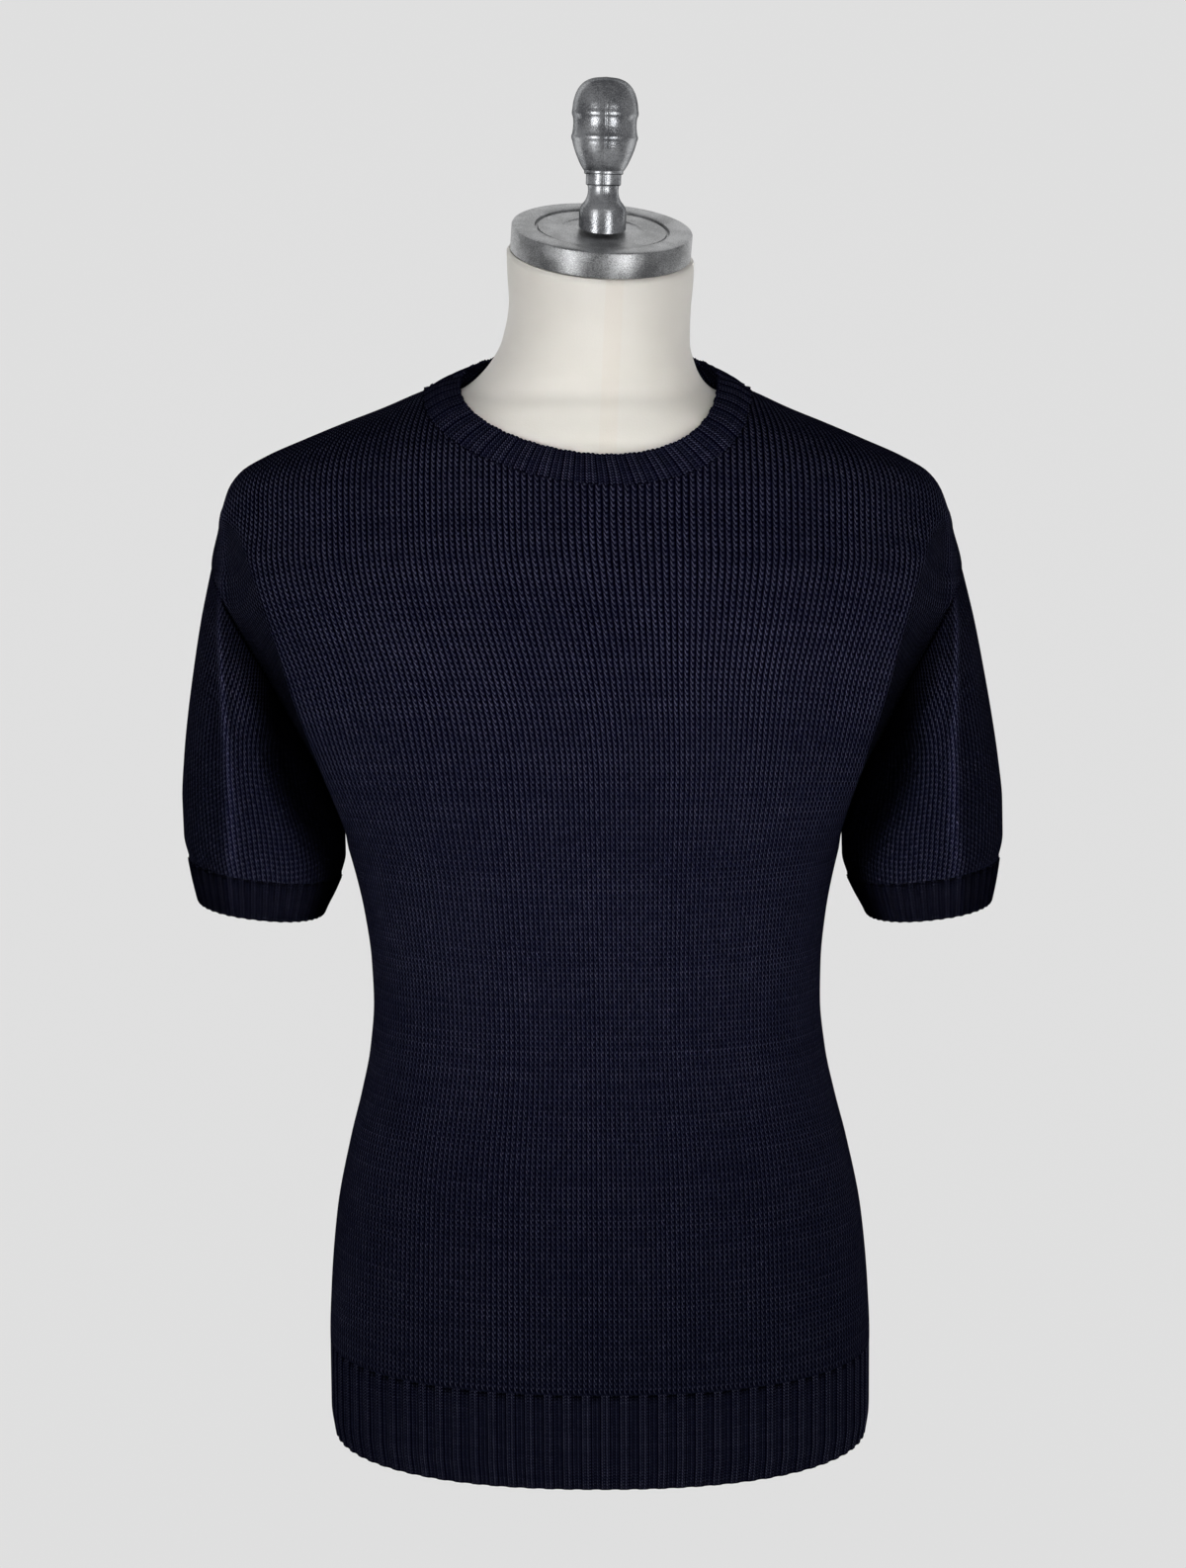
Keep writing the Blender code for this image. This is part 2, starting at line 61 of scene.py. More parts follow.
def mesh_of(name, bm):
    """The mesh that a bmesh holds; the bmesh is freed."""
    mesh = bpy.data.meshes.new(name)
    bm.to_mesh(mesh)
    bm.free()
    return mesh


def placed(name, data):
    """An object in the scene that holds this mesh, lamp or camera."""
    thing = bpy.data.objects.new(name, data)
    bpy.context.scene.collection.objects.link(thing)
    return thing


# %% [markdown]
# ## Colours and nodes
# Colours are written as they look on a screen and turned to the linear values that a shader needs.
# One function adds any node: it takes the node's inputs in order, each a number, a colour or what
# another node gives, and its settings by name. A mathematical node's operation follows its kind.


# %% Helpers for materials
def linear(colour):
    """An sRGB hex colour as linear RGBA."""
    parts = [int(colour[i : i + 2], 16) / 255 for i in (1, 3, 5)]
    return (*(c / 12.92 if c <= 0.04045 else ((c + 0.055) / 1.055) ** 2.4 for c in parts), 1.0)


def add_node(tree, kind, *inputs, sockets=None, stops=(), **settings):
    """A new node. inputs fill its sockets in order, sockets by name, and stops a colour ramp."""
    kind, _, operation = kind.partition(" ")
    node = tree.nodes.new("ShaderNode" + kind)
    if operation:
        node.operation = operation
    for name, value in settings.items():
        setattr(node, name, value)
    for position, _ in stops[1:-1]:
        node.color_ramp.elements.new(position)
    for (position, colour), stop in zip(stops, node.color_ramp.elements if stops else ()):
        stop.position, stop.color = position, linear(colour)
    for place, value in [*enumerate(inputs), *(sockets or {}).items()]:
        if isinstance(value, bpy.types.Node):
            value = value.outputs[0]
        if isinstance(value, bpy.types.NodeSocket):
            tree.links.new(value, node.inputs[place])
        else:
            node.inputs[place].default_value = value
    return node


def new_material(name):
    """A material with an empty tree, and the function that adds nodes to it."""
    material = bpy.data.materials.new(name)
    material.use_nodes = True
    material.node_tree.nodes.clear()
    return material, partial(add_node, material.node_tree)


def surface(add, sockets):
    """The Principled shader with these sockets filled, on the material's output."""
    add("OutputMaterial", add("BsdfPrincipled", sockets=sockets))


# %% [markdown]
# ## The form of the garment
# The garment is a stack of level sections. Each half of a section is a superellipse, the front half
# ahead of the seam line and the back half behind it. A few rows of sizes, joined by a smooth curve that
# never overshoots, give the section at any height. All sizes here are millimetres.

# %% Sections of the top
SEAM_Y = 10.0
SQUARENESS = 2.25
HEM_BOTTOM = 2.0
HEM_TOP = 65.3
NECK_POINT = 689.9
NECK_HALF_WIDTH = 104.0
NECK_FRONT = 637.0
NECK_BACK = 693.9
LEVEL_BELOW = 300.0

Section = namedtuple("Section", "height half_width front back")
BODY = table(
    Section,
    (2, 176.9, 135.5, 111.5), (20, 179.2, 136, 112.5), (67.7, 179.2, 136, 114.5),
    (99, 177.9, 134, 115), (149.9, 173.3, 128, 112), (200.5, 163.3, 120, 102),
    (230.3, 155.7, 116, 95), (259.9, 149.5, 114, 90), (293.6, 146.4, 114, 88),
    (320, 147.1, 116, 90), (349.3, 150.3, 120, 95), (390.6, 158.9, 127, 104),
    (451.7, 180.4, 132, 114), (513.3, 216.1, 131, 118), (574.4, 242.6, 122, 112),
    (600.5, 237, 115, 106), (617.1, 232.5, 108, 101), (627.2, 229, 103.5, 97.5),
    (637.5, 221.2, 99.5, 93.5), (647.7, 204.1, 95, 89.5), (657.8, 181, 90, 85),
    (667.9, 156.9, 82.5, 80), (678.1, 131, 71, 74.5), (689.9, 104, 42, 68),
    (693.8, 93.2, 30, 66),
)
Lean = namedtuple("Lean", "height offset")
LEAN = table(
    Lean,
    (0, 1.2), (251.8, -0.6), (390.6, -3.3), (483.5, -5.9), (572.4, -7.8),
    (650.6, -9.3), (689.4, -7.3), (713.6, -2.9), (747.2, 0.6), (795.1, 1),
)


# %% Smooth curves through a table
def curve_through(rows, name):
    """A smooth function through one column of a table, over the table's first column."""
    at = np.array([row[0] for row in rows], float)
    value = np.array([getattr(row, name) for row in rows], float)
    step = np.diff(at)
    slope = np.diff(value) / step
    tangent = np.zeros(len(at))
    tangent[0], tangent[-1] = slope[0], slope[-1]
    for i in range(1, len(at) - 1):
        if slope[i - 1] * slope[i] > 0:
            before = 2 * step[i] + step[i - 1]
            after = step[i] + 2 * step[i - 1]
            tangent[i] = (before + after) / (before / slope[i - 1] + after / slope[i])

    def value_at(place):
        place = np.clip(place, at[0], at[-1])
        i = np.clip(np.searchsorted(at, place, side="right") - 1, 0, len(step) - 1)
        t = (place - at[i]) / step[i]
        near = value[i] * (1 + 2 * t) * (1 - t) ** 2 + step[i] * tangent[i] * t * (1 - t) ** 2
        far = value[i + 1] * t * t * (3 - 2 * t) - step[i] * tangent[i + 1] * t * t * (1 - t)
        return near + far

    return value_at


def row_at(rows, place):
    """A whole row of a table at any place along it."""
    kind = type(rows[0])
    return kind(place, *(curve_through(rows, name)(place) for name in kind._fields[1:]))


half_width_at = curve_through(BODY, "half_width")
depth_at = {-1: curve_through(BODY, "front"), 1: curve_through(BODY, "back")}
lean_at = curve_through(LEAN, "offset")


def power(value, exponent):
    return np.sign(value) * np.abs(value) ** exponent


def bell(away, width):
    """1 where away is nothing, fading within about this width."""
    return np.exp(-((away / width) ** 2))


def ramp(value, low, high):
    """0 below low, 1 above high, and smooth between."""
    t = np.clip((value - low) / (high - low), 0.0, 1.0)
    return t * t * (3 - 2 * t)


def window(value, start, full, fading, end):
    """1 from full to fading, 0 before start and after end, and smooth between."""
    return ramp(value, start, full) * (1 - ramp(value, fading, end))


# %% Points of the form
Fullness = namedtuple("Fullness", "height more")
FULLNESS = table(
    Fullness,
    (392, 0), (404, 2), (458, 16), (506, 26), (560, 28),
    (590, 14), (604, 3), (614, 0),
)
fullness_at = curve_through(FULLNESS, "more")


def on_form(facing, angle, height):
    """A point of the form: angle 0 is the centre front or back, and +-90 degrees its side."""
    exponent = 2 / SQUARENESS
    x = (half_width_at(height) + fullness_at(height)) * power(np.sin(angle), exponent)
    y = SEAM_Y + facing * depth_at[facing](height) * np.maximum(np.cos(angle), 0.0) ** exponent
    return x, y


def angle_across(across, height):
    """The angle at which the form is this far from the middle."""
    wide = half_width_at(height) + fullness_at(height)
    share = np.minimum(np.abs(across) / wide, 1.0)
    return np.copysign(np.arcsin(share ** (SQUARENESS / 2)), across)


# %% The neckline
NECK_SKEW = 0.12


def neck_sag(facing, share):
    """How far a place of the neckline has come down, 0 to 1; the front is lowest a little to one side."""
    skew = NECK_SKEW * (1 - share**2) * (facing < 0)
    return np.cos((share - skew) * math.pi / 2)


def neck_seam(facing, share):
    """Across and height of the seam under the neckband; share runs from -1 to 1 across."""
    turn = share * math.pi / 2
    middle = NECK_FRONT if facing < 0 else NECK_BACK
    return NECK_HALF_WIDTH * np.sin(turn), NECK_POINT + (middle - NECK_POINT) * neck_sag(facing, share)


print(f"waist {2 * half_width_at(293.6):.0f} mm, hem {2 * half_width_at(67.7):.0f} mm across")

# %% [markdown]
# ## Stitches as coordinates
# Plain knitting is a grid of loops: columns called wales and rows called courses. The pattern belongs to
# the cloth, so each piece of cloth carries a UV map counted in stitches, u in wales and v in courses.
# On the body a wale is a line that keeps its count of stitches from the middle, and courses are counted
# along it, so the stitches stretch where the bust stretches them.

# %% Counting wales and courses over the body
COURSE = 3.45
MOST_WALES = 90
WaleWidth = namedtuple("WaleWidth", "height width")
WALE_WIDTH = table(
    WaleWidth,
    (60, 3.35), (180, 3.3), (293, 3), (390, 3.15), (451, 3.35),
    (513, 3.55), (560, 3.85), (600, 4.05), (700, 4.1),
)
wale_width_at = curve_through(WALE_WIDTH, "width")


def stitch_counter(facing):
    """A function that gives wale and course at any angle and height of the front or back."""
    heights = np.linspace(HEM_TOP, BODY[-1].height, 260)
    angles = np.linspace(0, math.pi / 2, 140)
    x, y = on_form(facing, angles[None, :], heights[:, None])
    along = np.hypot(np.diff(x, axis=1), np.diff(y, axis=1)).cumsum(axis=1)
    along = np.hstack([np.zeros((len(heights), 1)), along])
    wales = along / wale_width_at(heights)[:, None]
    counts = np.arange(float(MOST_WALES))
    line = np.array([np.interp(counts, wales[i], angles) for i in range(len(heights))])
    x, y = on_form(facing, line, heights[:, None])
    rise = np.sqrt(np.diff(x, axis=0) ** 2 + np.diff(y, axis=0) ** 2 + np.diff(heights)[:, None] ** 2)
    courses = np.vstack([np.zeros((1, len(counts))), rise.cumsum(axis=0)]) / COURSE

    def between(grid, row, column):
        """The grid's value at fractional rows and columns."""
        i = np.clip(row.astype(int), 0, grid.shape[0] - 2)
        j = np.clip(column.astype(int), 0, grid.shape[1] - 2)
        s, t = np.clip(row - i, 0, 1), np.clip(column - j, 0, 1)
        low = grid[i, j] * (1 - t) + grid[i, j + 1] * t
        high = grid[i + 1, j] * (1 - t) + grid[i + 1, j + 1] * t
        return low * (1 - s) + high * s

    def count(angle, height):
        row = (height - heights[0]) / (heights[-1] - heights[0]) * (len(heights) - 1)
        column = np.abs(angle) / (math.pi / 2) * (len(angles) - 1)
        wale = between(wales, row, column)
        return np.copysign(wale, angle), between(courses, row, wale)

    return count


# %% [markdown]
# ## Laying out a sheet of cloth
# Every knitted piece starts as a flat grid. A shape function tells each of its corners where to go and
# which stitch it is. Folds are added along the cloth's own normals, and a Solidify modifier gives the
# thickness, inwards. A tube is a grid whose two sides meet and are merged.


# %% From a grid to a piece of cloth
def normals_of(points, closed):
    """Unit normals of a grid of points, rows by columns."""
    if closed:
        wide = np.concatenate([points[:, -2:-1], points, points[:, 1:2]], axis=1)
        across = (wide[:, 2:] - wide[:, :-2]) / 2
    else:
        across = np.gradient(points, axis=1)
    normal = np.cross(across, np.gradient(points, axis=0))
    return normal / np.maximum(np.linalg.norm(normal, axis=2, keepdims=True), 1e-9)


def run_length(points, axis):
    """Distance travelled along a grid's rows (axis 1) or columns (axis 0)."""
    step = np.linalg.norm(np.diff(points, axis=axis), axis=2)
    zero = np.zeros_like(step[:1] if axis == 0 else step[:, :1])
    return np.concatenate([zero, step.cumsum(axis=axis)], axis=axis)


# %% A finished piece
def finished(name, mesh, material):
    """The mesh as a smooth piece that rides on the only body."""
    piece = placed(name, mesh)
    mesh.materials.append(material)
    mesh.shade_smooth()
    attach(piece, "root")
    print(f"{name}: {len(mesh.polygons)} faces")
    return piece


# %% Cloth laid from a grid
def grid_of(name, columns, rows):
    """A flat grid as a mesh, and how far across and up each of its corners lies, 0 to 1."""
    bm = bmesh.new()
    bmesh.ops.create_grid(bm, x_segments=columns, y_segments=rows, size=0.5)
    mesh = mesh_of(name, bm)
    flat = np.empty(len(mesh.vertices) * 3)
    mesh.vertices.foreach_get("co", flat)
    flat = flat.reshape(rows + 1, columns + 1, 3)
    return mesh, flat[..., 0] + 0.5, flat[..., 1] + 0.5


RIB_SLACK = 0.65
BELLY_SLACK = 0.3


def slack_at(height):
    """None at the chest, where the columns of stitches show, and more below, where the rows do."""
    return BELLY_SLACK * (1 - ramp(height, 390.0, 530.0))


def laid_cloth(name, columns, rows, shape, material, wall, closed=False):
    """A grid of columns by rows, placed by shape(across, up), which gives points in mm, wales,
    courses, and how much of the light the place keeps."""
    mesh, across, up = grid_of(name, columns, rows)
    points, wales, courses, shade = shape(across, up)
    slack = slack_at(points[..., 2]) if material is PLAIN_KNIT else RIB_SLACK + 0 * shade
    mesh.vertices.foreach_set("co", (points * MM).ravel())
    corners = np.empty(len(mesh.loops), int)
    mesh.loops.foreach_get("vertex_index", corners)
    maps = {"stitches": (wales, courses), "shade": (shade, slack)}
    for title, pair in maps.items():
        corner_values = np.stack([value.ravel() for value in pair], axis=1)[corners]
        mesh.uv_layers.new(name=title).data.foreach_set("uv", corner_values.ravel())
    if closed:
        bm = bmesh.new()
        bm.from_mesh(mesh)
        bmesh.ops.remove_doubles(bm, verts=bm.verts, dist=MERGE)
        bm.to_mesh(mesh)
        bm.free()
    piece = finished(name, mesh, material)
    thickness = piece.modifiers.new("thickness", "SOLIDIFY")
    thickness.thickness = wall * MM
    thickness.offset = -1.0
    thickness.use_quality_normals = True
    length = run_length(points, 0)[-1].max() * MM
    width = run_length(points, 1)[:, -1].max() * MM
    return piece


# %% [markdown]
# ## The camera
# It stands about two and a half metres in front, at the height of the bust's cap, and looks nine
# degrees down.

# %% Camera
CAMERA_DOWN = 9.0
camera = bpy.context.scene.camera = placed("camera", bpy.data.cameras.new("camera"))
camera.location = (-0.0038, -2.45, 0.8237)
camera.rotation_euler = (math.radians(90 - CAMERA_DOWN), 0.0, 0.0)
camera.data.sensor_width = 36.0
camera.data.lens = 87.75
camera.data.clip_start = 0.05
camera.data.clip_end = 50.0
print(f"camera {camera.location.length:.2f} m from the origin, lens {camera.data.lens} mm")

# %% [markdown]
# ## Studio
# A pale sweep runs from under the bust up behind it. The paper glows, so that it stays an even pale
# grey. Round the studio stands a wide bowl of the same paper, which is there only for a camera that
# looks from behind and neither lights nor shades anything. The sweep's sizes are in metres and the
# bowl's in millimetres. Two softboxes stand left and right of the camera, with a gap between them that
# the metal shows. The other lamps give no gleams, as if they were cross-polarised: a wide one in front,
# a gridded one that lights the chest and waist a little more, and two fills behind, for the back and
# the sides.

# %% Sweep
Turned = namedtuple("Turned", "radius height")


def drawn(bm, points):
    """A line through these points in metres, as the vertices and edges of a bmesh."""
    line = [bm.verts.new(point) for point in points]
    return line, [bm.edges.new(pair) for pair in zip(line, line[1:])]


def spun(name, profile, steps, turns=(0.0, 0.0, 0.0), centre=Vector()):
    """A profile of points in mm spun about the upright axis, turned and put in place."""
    bm = bmesh.new()
    line, edges = drawn(bm, [(p.radius * MM, 0.0, p.height * MM) for p in profile])
    bmesh.ops.spin(
        bm, geom=line + edges, cent=(0, 0, 0), axis=(0, 0, 1), angle=2 * math.pi,
        steps=steps, use_merge=True,
    )
    bmesh.ops.remove_doubles(bm, verts=bm.verts, dist=MERGE / 2)
    bmesh.ops.recalc_face_normals(bm, faces=bm.faces)
    bmesh.ops.rotate(bm, verts=bm.verts, cent=(0, 0, 0), matrix=Euler(turns).to_matrix())
    bmesh.ops.translate(bm, verts=bm.verts, vec=centre * MM)
    return mesh_of(name, bm)


SWEEP_GREY = "#dfdfdf"
SWEEP_HALF_WIDTH = 4.0
SWEEP_NEAR = -3.6
SWEEP_MIDDLE = 0.5
SWEEP_BACK = 2.6
SWEEP_BEND = 1.2
SWEEP_TOP = 4.0
PAPER_DULL = 0.02
PAPER_GLOW = 0.99
PAPER, add = new_material("background paper")
surface(add, {
    "Base Color": (PAPER_DULL, PAPER_DULL, PAPER_DULL, 1.0),
    "Roughness": 1.0,
    "Specular IOR Level": 0.0,
    "Emission Color": linear(SWEEP_GREY),
    "Emission Strength": PAPER_GLOW,
})


def staged(name, mesh):
    """A sheet of paper as part of the studio, not of the piece."""
    mesh.shade_smooth()
    mesh.materials.append(PAPER)
    sheet = placed(name, mesh)
    return sheet


def paper(name, profile, gleams):
    """A sheet of the sweep, drawn out sideways from its side view, a list of (y, z)."""
    bm = bmesh.new()
    _, edges = drawn(bm, [(-SWEEP_HALF_WIDTH, y, z) for y, z in profile])
    sides = bmesh.ops.extrude_edge_only(bm, edges=edges)["geom"]
    moved = [v for v in sides if isinstance(v, bmesh.types.BMVert)]
    bmesh.ops.translate(bm, verts=moved, vec=(2 * SWEEP_HALF_WIDTH, 0, 0))
    bmesh.ops.recalc_face_normals(bm, faces=bm.faces)
    staged(name, mesh_of(name, bm)).visible_glossy = gleams


bend = [
    (SWEEP_BACK - SWEEP_BEND + SWEEP_BEND * math.sin(a), SWEEP_BEND - SWEEP_BEND * math.cos(a))
    for a in np.linspace(0, math.pi / 2, 17)
]
BOWL_FLOOR = 3600.0
BOWL_BEND = 1400.0
BOWL_SUNK = -4.0
BOWL_TOP = 6000.0
bowl = [Turned(0.0, BOWL_SUNK), Turned(BOWL_FLOOR, BOWL_SUNK)]
for a in np.linspace(0.1, math.pi / 2, 16):
    bowl.append(Turned(
        BOWL_FLOOR + BOWL_BEND * math.sin(a), BOWL_SUNK + BOWL_BEND - BOWL_BEND * math.cos(a)
    ))
bowl.append(Turned(BOWL_FLOOR + BOWL_BEND, BOWL_TOP))
paper("floor", [(SWEEP_NEAR, 0.0), (SWEEP_MIDDLE, 0.0)], False)
surround = staged("surround", spun("surround", bowl, 72))
surround.visible_glossy = surround.visible_diffuse = surround.visible_shadow = False
paper("sweep", [(SWEEP_MIDDLE, 0.0), *bend, (SWEEP_BACK, SWEEP_TOP)], True)

# %% Lights
Softbox = namedtuple("Softbox", "name x y z aim_z wide high power spread")
LIGHTS = table(
    Softbox,
    ("softbox_left", -1.05, -1.38, 0.53, 0.50, 0.6, 1, 6.2, 180),
    ("softbox_right", 0.87, -1.48, 0.53, 0.50, 0.55, 1, 5.2, 180),
    ("front", 0, -2.35, 0.62, 0.50, 1, 0.9, 7.6, 180),
    ("gridded_front", 0.05, -2.2, 0.60, 0.42, 0.7, 0.5, 1.3, 18),
    ("fill_left", -1.6, 1.5, 1, 0.45, 0.9, 1.1, 9, 180),
    ("fill_right", 1.6, 1.5, 1, 0.45, 0.9, 1.1, 8, 180),
)
for box in LIGHTS:
    lamp = bpy.data.lights.new(box.name, "AREA")
    lamp.shape = "RECTANGLE"
    lamp.size, lamp.size_y = box.wide, box.high
    lamp.energy = box.power
    lamp.spread = math.radians(box.spread)
    holder = placed(box.name, lamp)
    holder.location = (box.x, box.y, box.z)
    holder.visible_glossy = box.name.startswith("softbox")
    facing = Vector((0.0, 0.0, box.aim_z)) - holder.location
    holder.rotation_euler = facing.to_track_quat("-Z", "Y").to_euler()
room = bpy.data.worlds.new("room")
bpy.context.scene.world = room
room.use_nodes = True
room.node_tree.nodes["Background"].inputs["Color"].default_value = (0.19, 0.19, 0.195, 1.0)
bpy.context.scene.view_settings.view_transform = "Standard"
print(len(LIGHTS), "lamps,", sum(box.power for box in LIGHTS), "W")

# %% [markdown]
# ## Plain knit
# The face of plain knitting shows each loop as a small V, so a wale looks like a chain of Vs. It is
# drawn from the stitch count alone. Inside one wale the distance from its middle slants the courses,
# which makes the two legs of the V. Each leg is round, so the middle of the V and the line between two
# wales lie deeper; they get painted shade, and the tops of the loops a painted highlight. Dull cotton
# has no gloss at all. Where a crease gets a painted highlight or a valley painted shade, the cloth's
# second map says how much of its light it keeps.


# %% The stitch pattern, for plain knit and rib alike
WANDER = 0.25
SLACK_FILLS_GROOVE = 0.5
COURSE_GAP = 0.25
SLACK_OPENS_GAP = 0.55
HOLE_TILT = 0.5
HOLE_NARROW = 9.0
HOLE_SHORT = 1.5
HOLE_DEPTH = 0.95
TURNED_AWAY = 0.15


def stitch_pattern(add, lift):
    """(height of the yarn 0 to 1, number of the wale, number of the course) from the stitch count."""
    count = add("UVMap", uv_map="stitches")
    drift = add("TexNoise", count, sockets={"Scale": 0.35, "Detail": 3.0})
    centred = add("VectorMath SUBTRACT", drift.outputs["Color"], (0.5, 0.5, 0.5))
    moved = add("VectorMath SCALE", centred, sockets={"Scale": WANDER})
    place = add("SeparateXYZ", add("VectorMath ADD", count, moved))
    wale = add("Math FRACT", place.outputs["X"])
    off = add("Math MULTIPLY_ADD", wale, 2.0, -1.0)
    aside = add("Math ABSOLUTE", off)
    slant = add("Math MULTIPLY_ADD", aside, -lift, place.outputs["Y"])
    along = add("Math MULTIPLY_ADD", add("Math FRACT", slant), 2.0, -1.0)
    along_squared = add("Math MULTIPLY", along, along)
    # Slack cloth closes the groove between two wales and opens the gap between two courses.
    slack = add("SeparateXYZ", add("UVMap", uv_map="shade")).outputs["Y"]
    groove = add("Math MULTIPLY", off, off)
    groove_depth = add("Math MULTIPLY_ADD", slack, SLACK_FILLS_GROOVE, -1.0)
    rounded = add("Math MULTIPLY_ADD", groove, groove_depth, 1.0)
    gap_depth = add("Math MULTIPLY_ADD", slack, -SLACK_OPENS_GAP, -COURSE_GAP)
    gap = add("Math MULTIPLY_ADD", along_squared, gap_depth, 1.0)
    rounded = add("Math MULTIPLY", rounded, gap)
    # The small hole in the crook of the V, tilted since the yarn is twisted.
    beside_hole = add("Math MULTIPLY_ADD", along, HOLE_TILT, off)
    beside_hole = add("Math MULTIPLY", beside_hole, beside_hole)
    fade = add("Math MULTIPLY", along_squared, -HOLE_SHORT)
    fade = add("Math MULTIPLY_ADD", beside_hole, -HOLE_NARROW, fade)
    hole = add("Math EXPONENT", fade)
    open_part = add("Math MULTIPLY_ADD", hole, -HOLE_DEPTH, 1.0)
    nearer = add("Math MULTIPLY_ADD", off, -TURNED_AWAY, 1.0)
    round_leg = add("Math MULTIPLY", rounded, open_part)
    round_leg = add("Math MULTIPLY", round_leg, nearer)
    wale_number = add("Math FLOOR", place.outputs["X"])
    course_number = add("Math FLOOR", slant)
    return round_leg, wale_number, course_number


# %% The knitted materials
HOLLOW_SHADE = "#000007"
YARN = "#131420"
LOOP_HIGHLIGHT = "#4e4f60"
EVEN_LIGHT = 0.74
SHARPNESS = 2.0
STITCH_LIFT = 0.7
FLANK_LIGHT = 0.12
FLANK_WIDTH = 0.36
FURROW_LIGHT, RAISED_LIGHT = 0.95, 1.12


def knit_material(name, depth, ribbed):
    """Cotton yarn, knitted: painted shade nearly black blue in the hollows, and a greyer painted
    highlight on the tops of the loops.
    """
    material, add = new_material(name)
    yarn, wale, course = stitch_pattern(add, STITCH_LIFT)
    count = add("UVMap", uv_map="stitches")
    # No two stitches are alike, nor are rows, and dye and yarn change slowly over the cloth.
    chance = add("TexWhiteNoise", add("CombineXYZ", wale, course, 0.0), noise_dimensions="3D")
    row = add("TexWhiteNoise", sockets={"W": course}, noise_dimensions="1D")
    long = add("Mapping", count, sockets={"Scale": (0.06, 0.9, 1.0)})
    streak = add("TexNoise", long, sockets={"Scale": 1.0, "Detail": 2.0})
    cloudy = add("TexNoise", count, sockets={"Scale": 0.04, "Detail": 2.0})
    uneven = EVEN_LIGHT
    for cause, output, share in (
        (chance, "Value", 0.16), (row, "Value", 0.10), (streak, "Fac", 0.20), (cloudy, "Fac", 0.24),
    ):
        uneven = add("Math MULTIPLY_ADD", cause.outputs[output], share, uneven)
    lit = add("Math POWER", yarn, SHARPNESS)
    level = add("Math MULTIPLY", lit, uneven)
    if ribbed:
        # Four wales make one repeat; the flanks between raised pair and furrow lie in shadow.
        quarter = add("Math MULTIPLY", add("SeparateXYZ", count), 0.5)
        turn = add("Math MULTIPLY_ADD", quarter, math.pi, -math.pi / 2)
        raised = add("Math COSINE", turn)
        share = add("MapRange", raised, -0.6, 0.5, FURROW_LIGHT, RAISED_LIGHT,
                    interpolation_type="SMOOTHSTEP")
        level = add("Math MULTIPLY", level, share)
        flank = add("Math ABSOLUTE", raised)
        flank = add("MapRange", flank, 0.0, FLANK_WIDTH, FLANK_LIGHT, 1.0)
        level = add("Math MULTIPLY", level, flank)
    # Painted shade in the hollows and a painted highlight on the loop tops, both from the yarn's height.
    colour = add("ValToRGB", level, stops=((0.0, HOLLOW_SHADE), (0.5, YARN), (1.0, LOOP_HIGHLIGHT)))
    # The second map scales the colour: painted shade where it is below 1, a painted highlight where it is
    # above.
    painted = add("SeparateXYZ", add("UVMap", uv_map="shade"))
    shaded_colour = add("VectorMath SCALE", colour, sockets={"Scale": painted})
    fibre = add("TexNoise", count, sockets={"Scale": 5.0, "Detail": 2.0})
    relief = add("Math MULTIPLY_ADD", fibre.outputs["Fac"], 0.18, yarn)
    bump = add("Bump", sockets={"Height": relief, "Strength": 1.0, "Distance": depth * MM})
    surface(add, {
        "Base Color": shaded_colour, "Normal": bump, "Roughness": 0.8, "Specular IOR Level": 0.0,
    })
    return material


PLAIN_KNIT = knit_material("navy cotton, plain knit", 0.4, ribbed=False)
RIB_KNIT = knit_material("navy cotton, ribbed", 0.3, ribbed=True)
print("materials:", PLAIN_KNIT.name, "and", RIB_KNIT.name)

# %% [markdown]
# ## Front and back
# Each is one panel from the top of the hem rib to the shoulder and neck seams. A row of the panel is
# level at the bottom and follows the curve of the neck at the top. Beside the armhole the cloth turns
# in sharply, from the broad chest to the seam that lies deep between chest and sleeve. That is a
# straight chord cut from the form, with a tight rounding where it begins. A pressed crease stands up
# from the chest to the point of the shoulder.

# %% Where the chest turns in
ARMHOLE_TOP = (242.6, 574.4)
ARMHOLE_FOOT = (180.4, 451.7)
ARMHOLE_REACH = {-1: 42.0, 1: 46.0}
ARMHOLE_SCOOP = 1.0
ARMHOLE_TUCK = 0.55
FOLD_ROUNDING = 1.3
RIDGE_X = 233.0
RIDGE_HIGH = 4.5
RIDGE_WIDE = 3.4
RIDGE_SPAN = (530.0, 556.0, 606.0, 632.0)
TURN_SPAN = (390.0, 404.0, 600.0, 614.0)
Turn = namedtuple("Turn", "height across")
TURN_IN = table(
    Turn,
    (392, 155.5), (408, 158), (458, 172.5), (506, 187), (534, 194),
    (565, 203), (590, 213), (612, 223),
)
turn_across_at = curve_through(TURN_IN, "across")


def ridge_lift(x, z):
    """How far the crease from the shoulder point stands forward at a place of the front."""
    beside = bell(np.abs(x) - RIDGE_X, RIDGE_WIDE)
    return RIDGE_HIGH * beside * window(z, *RIDGE_SPAN)


def armhole_seam(facing, angle):
    """The seam on the +X side, angle 0 at its top and pi at its foot."""
    up, out = np.cos(angle), np.sin(angle)
    x, z = (
        (top + foot) / 2 + up * (top - foot) / 2 for top, foot in zip(ARMHOLE_TOP, ARMHOLE_FOOT)
    )
    x = x - ARMHOLE_SCOOP * out * out
    tuck = 1 - ARMHOLE_TUCK * ramp(angle, math.radians(45), math.radians(100))
    return x, SEAM_Y + facing * (ARMHOLE_REACH[facing] * out * tuck + ridge_lift(x, z)), z


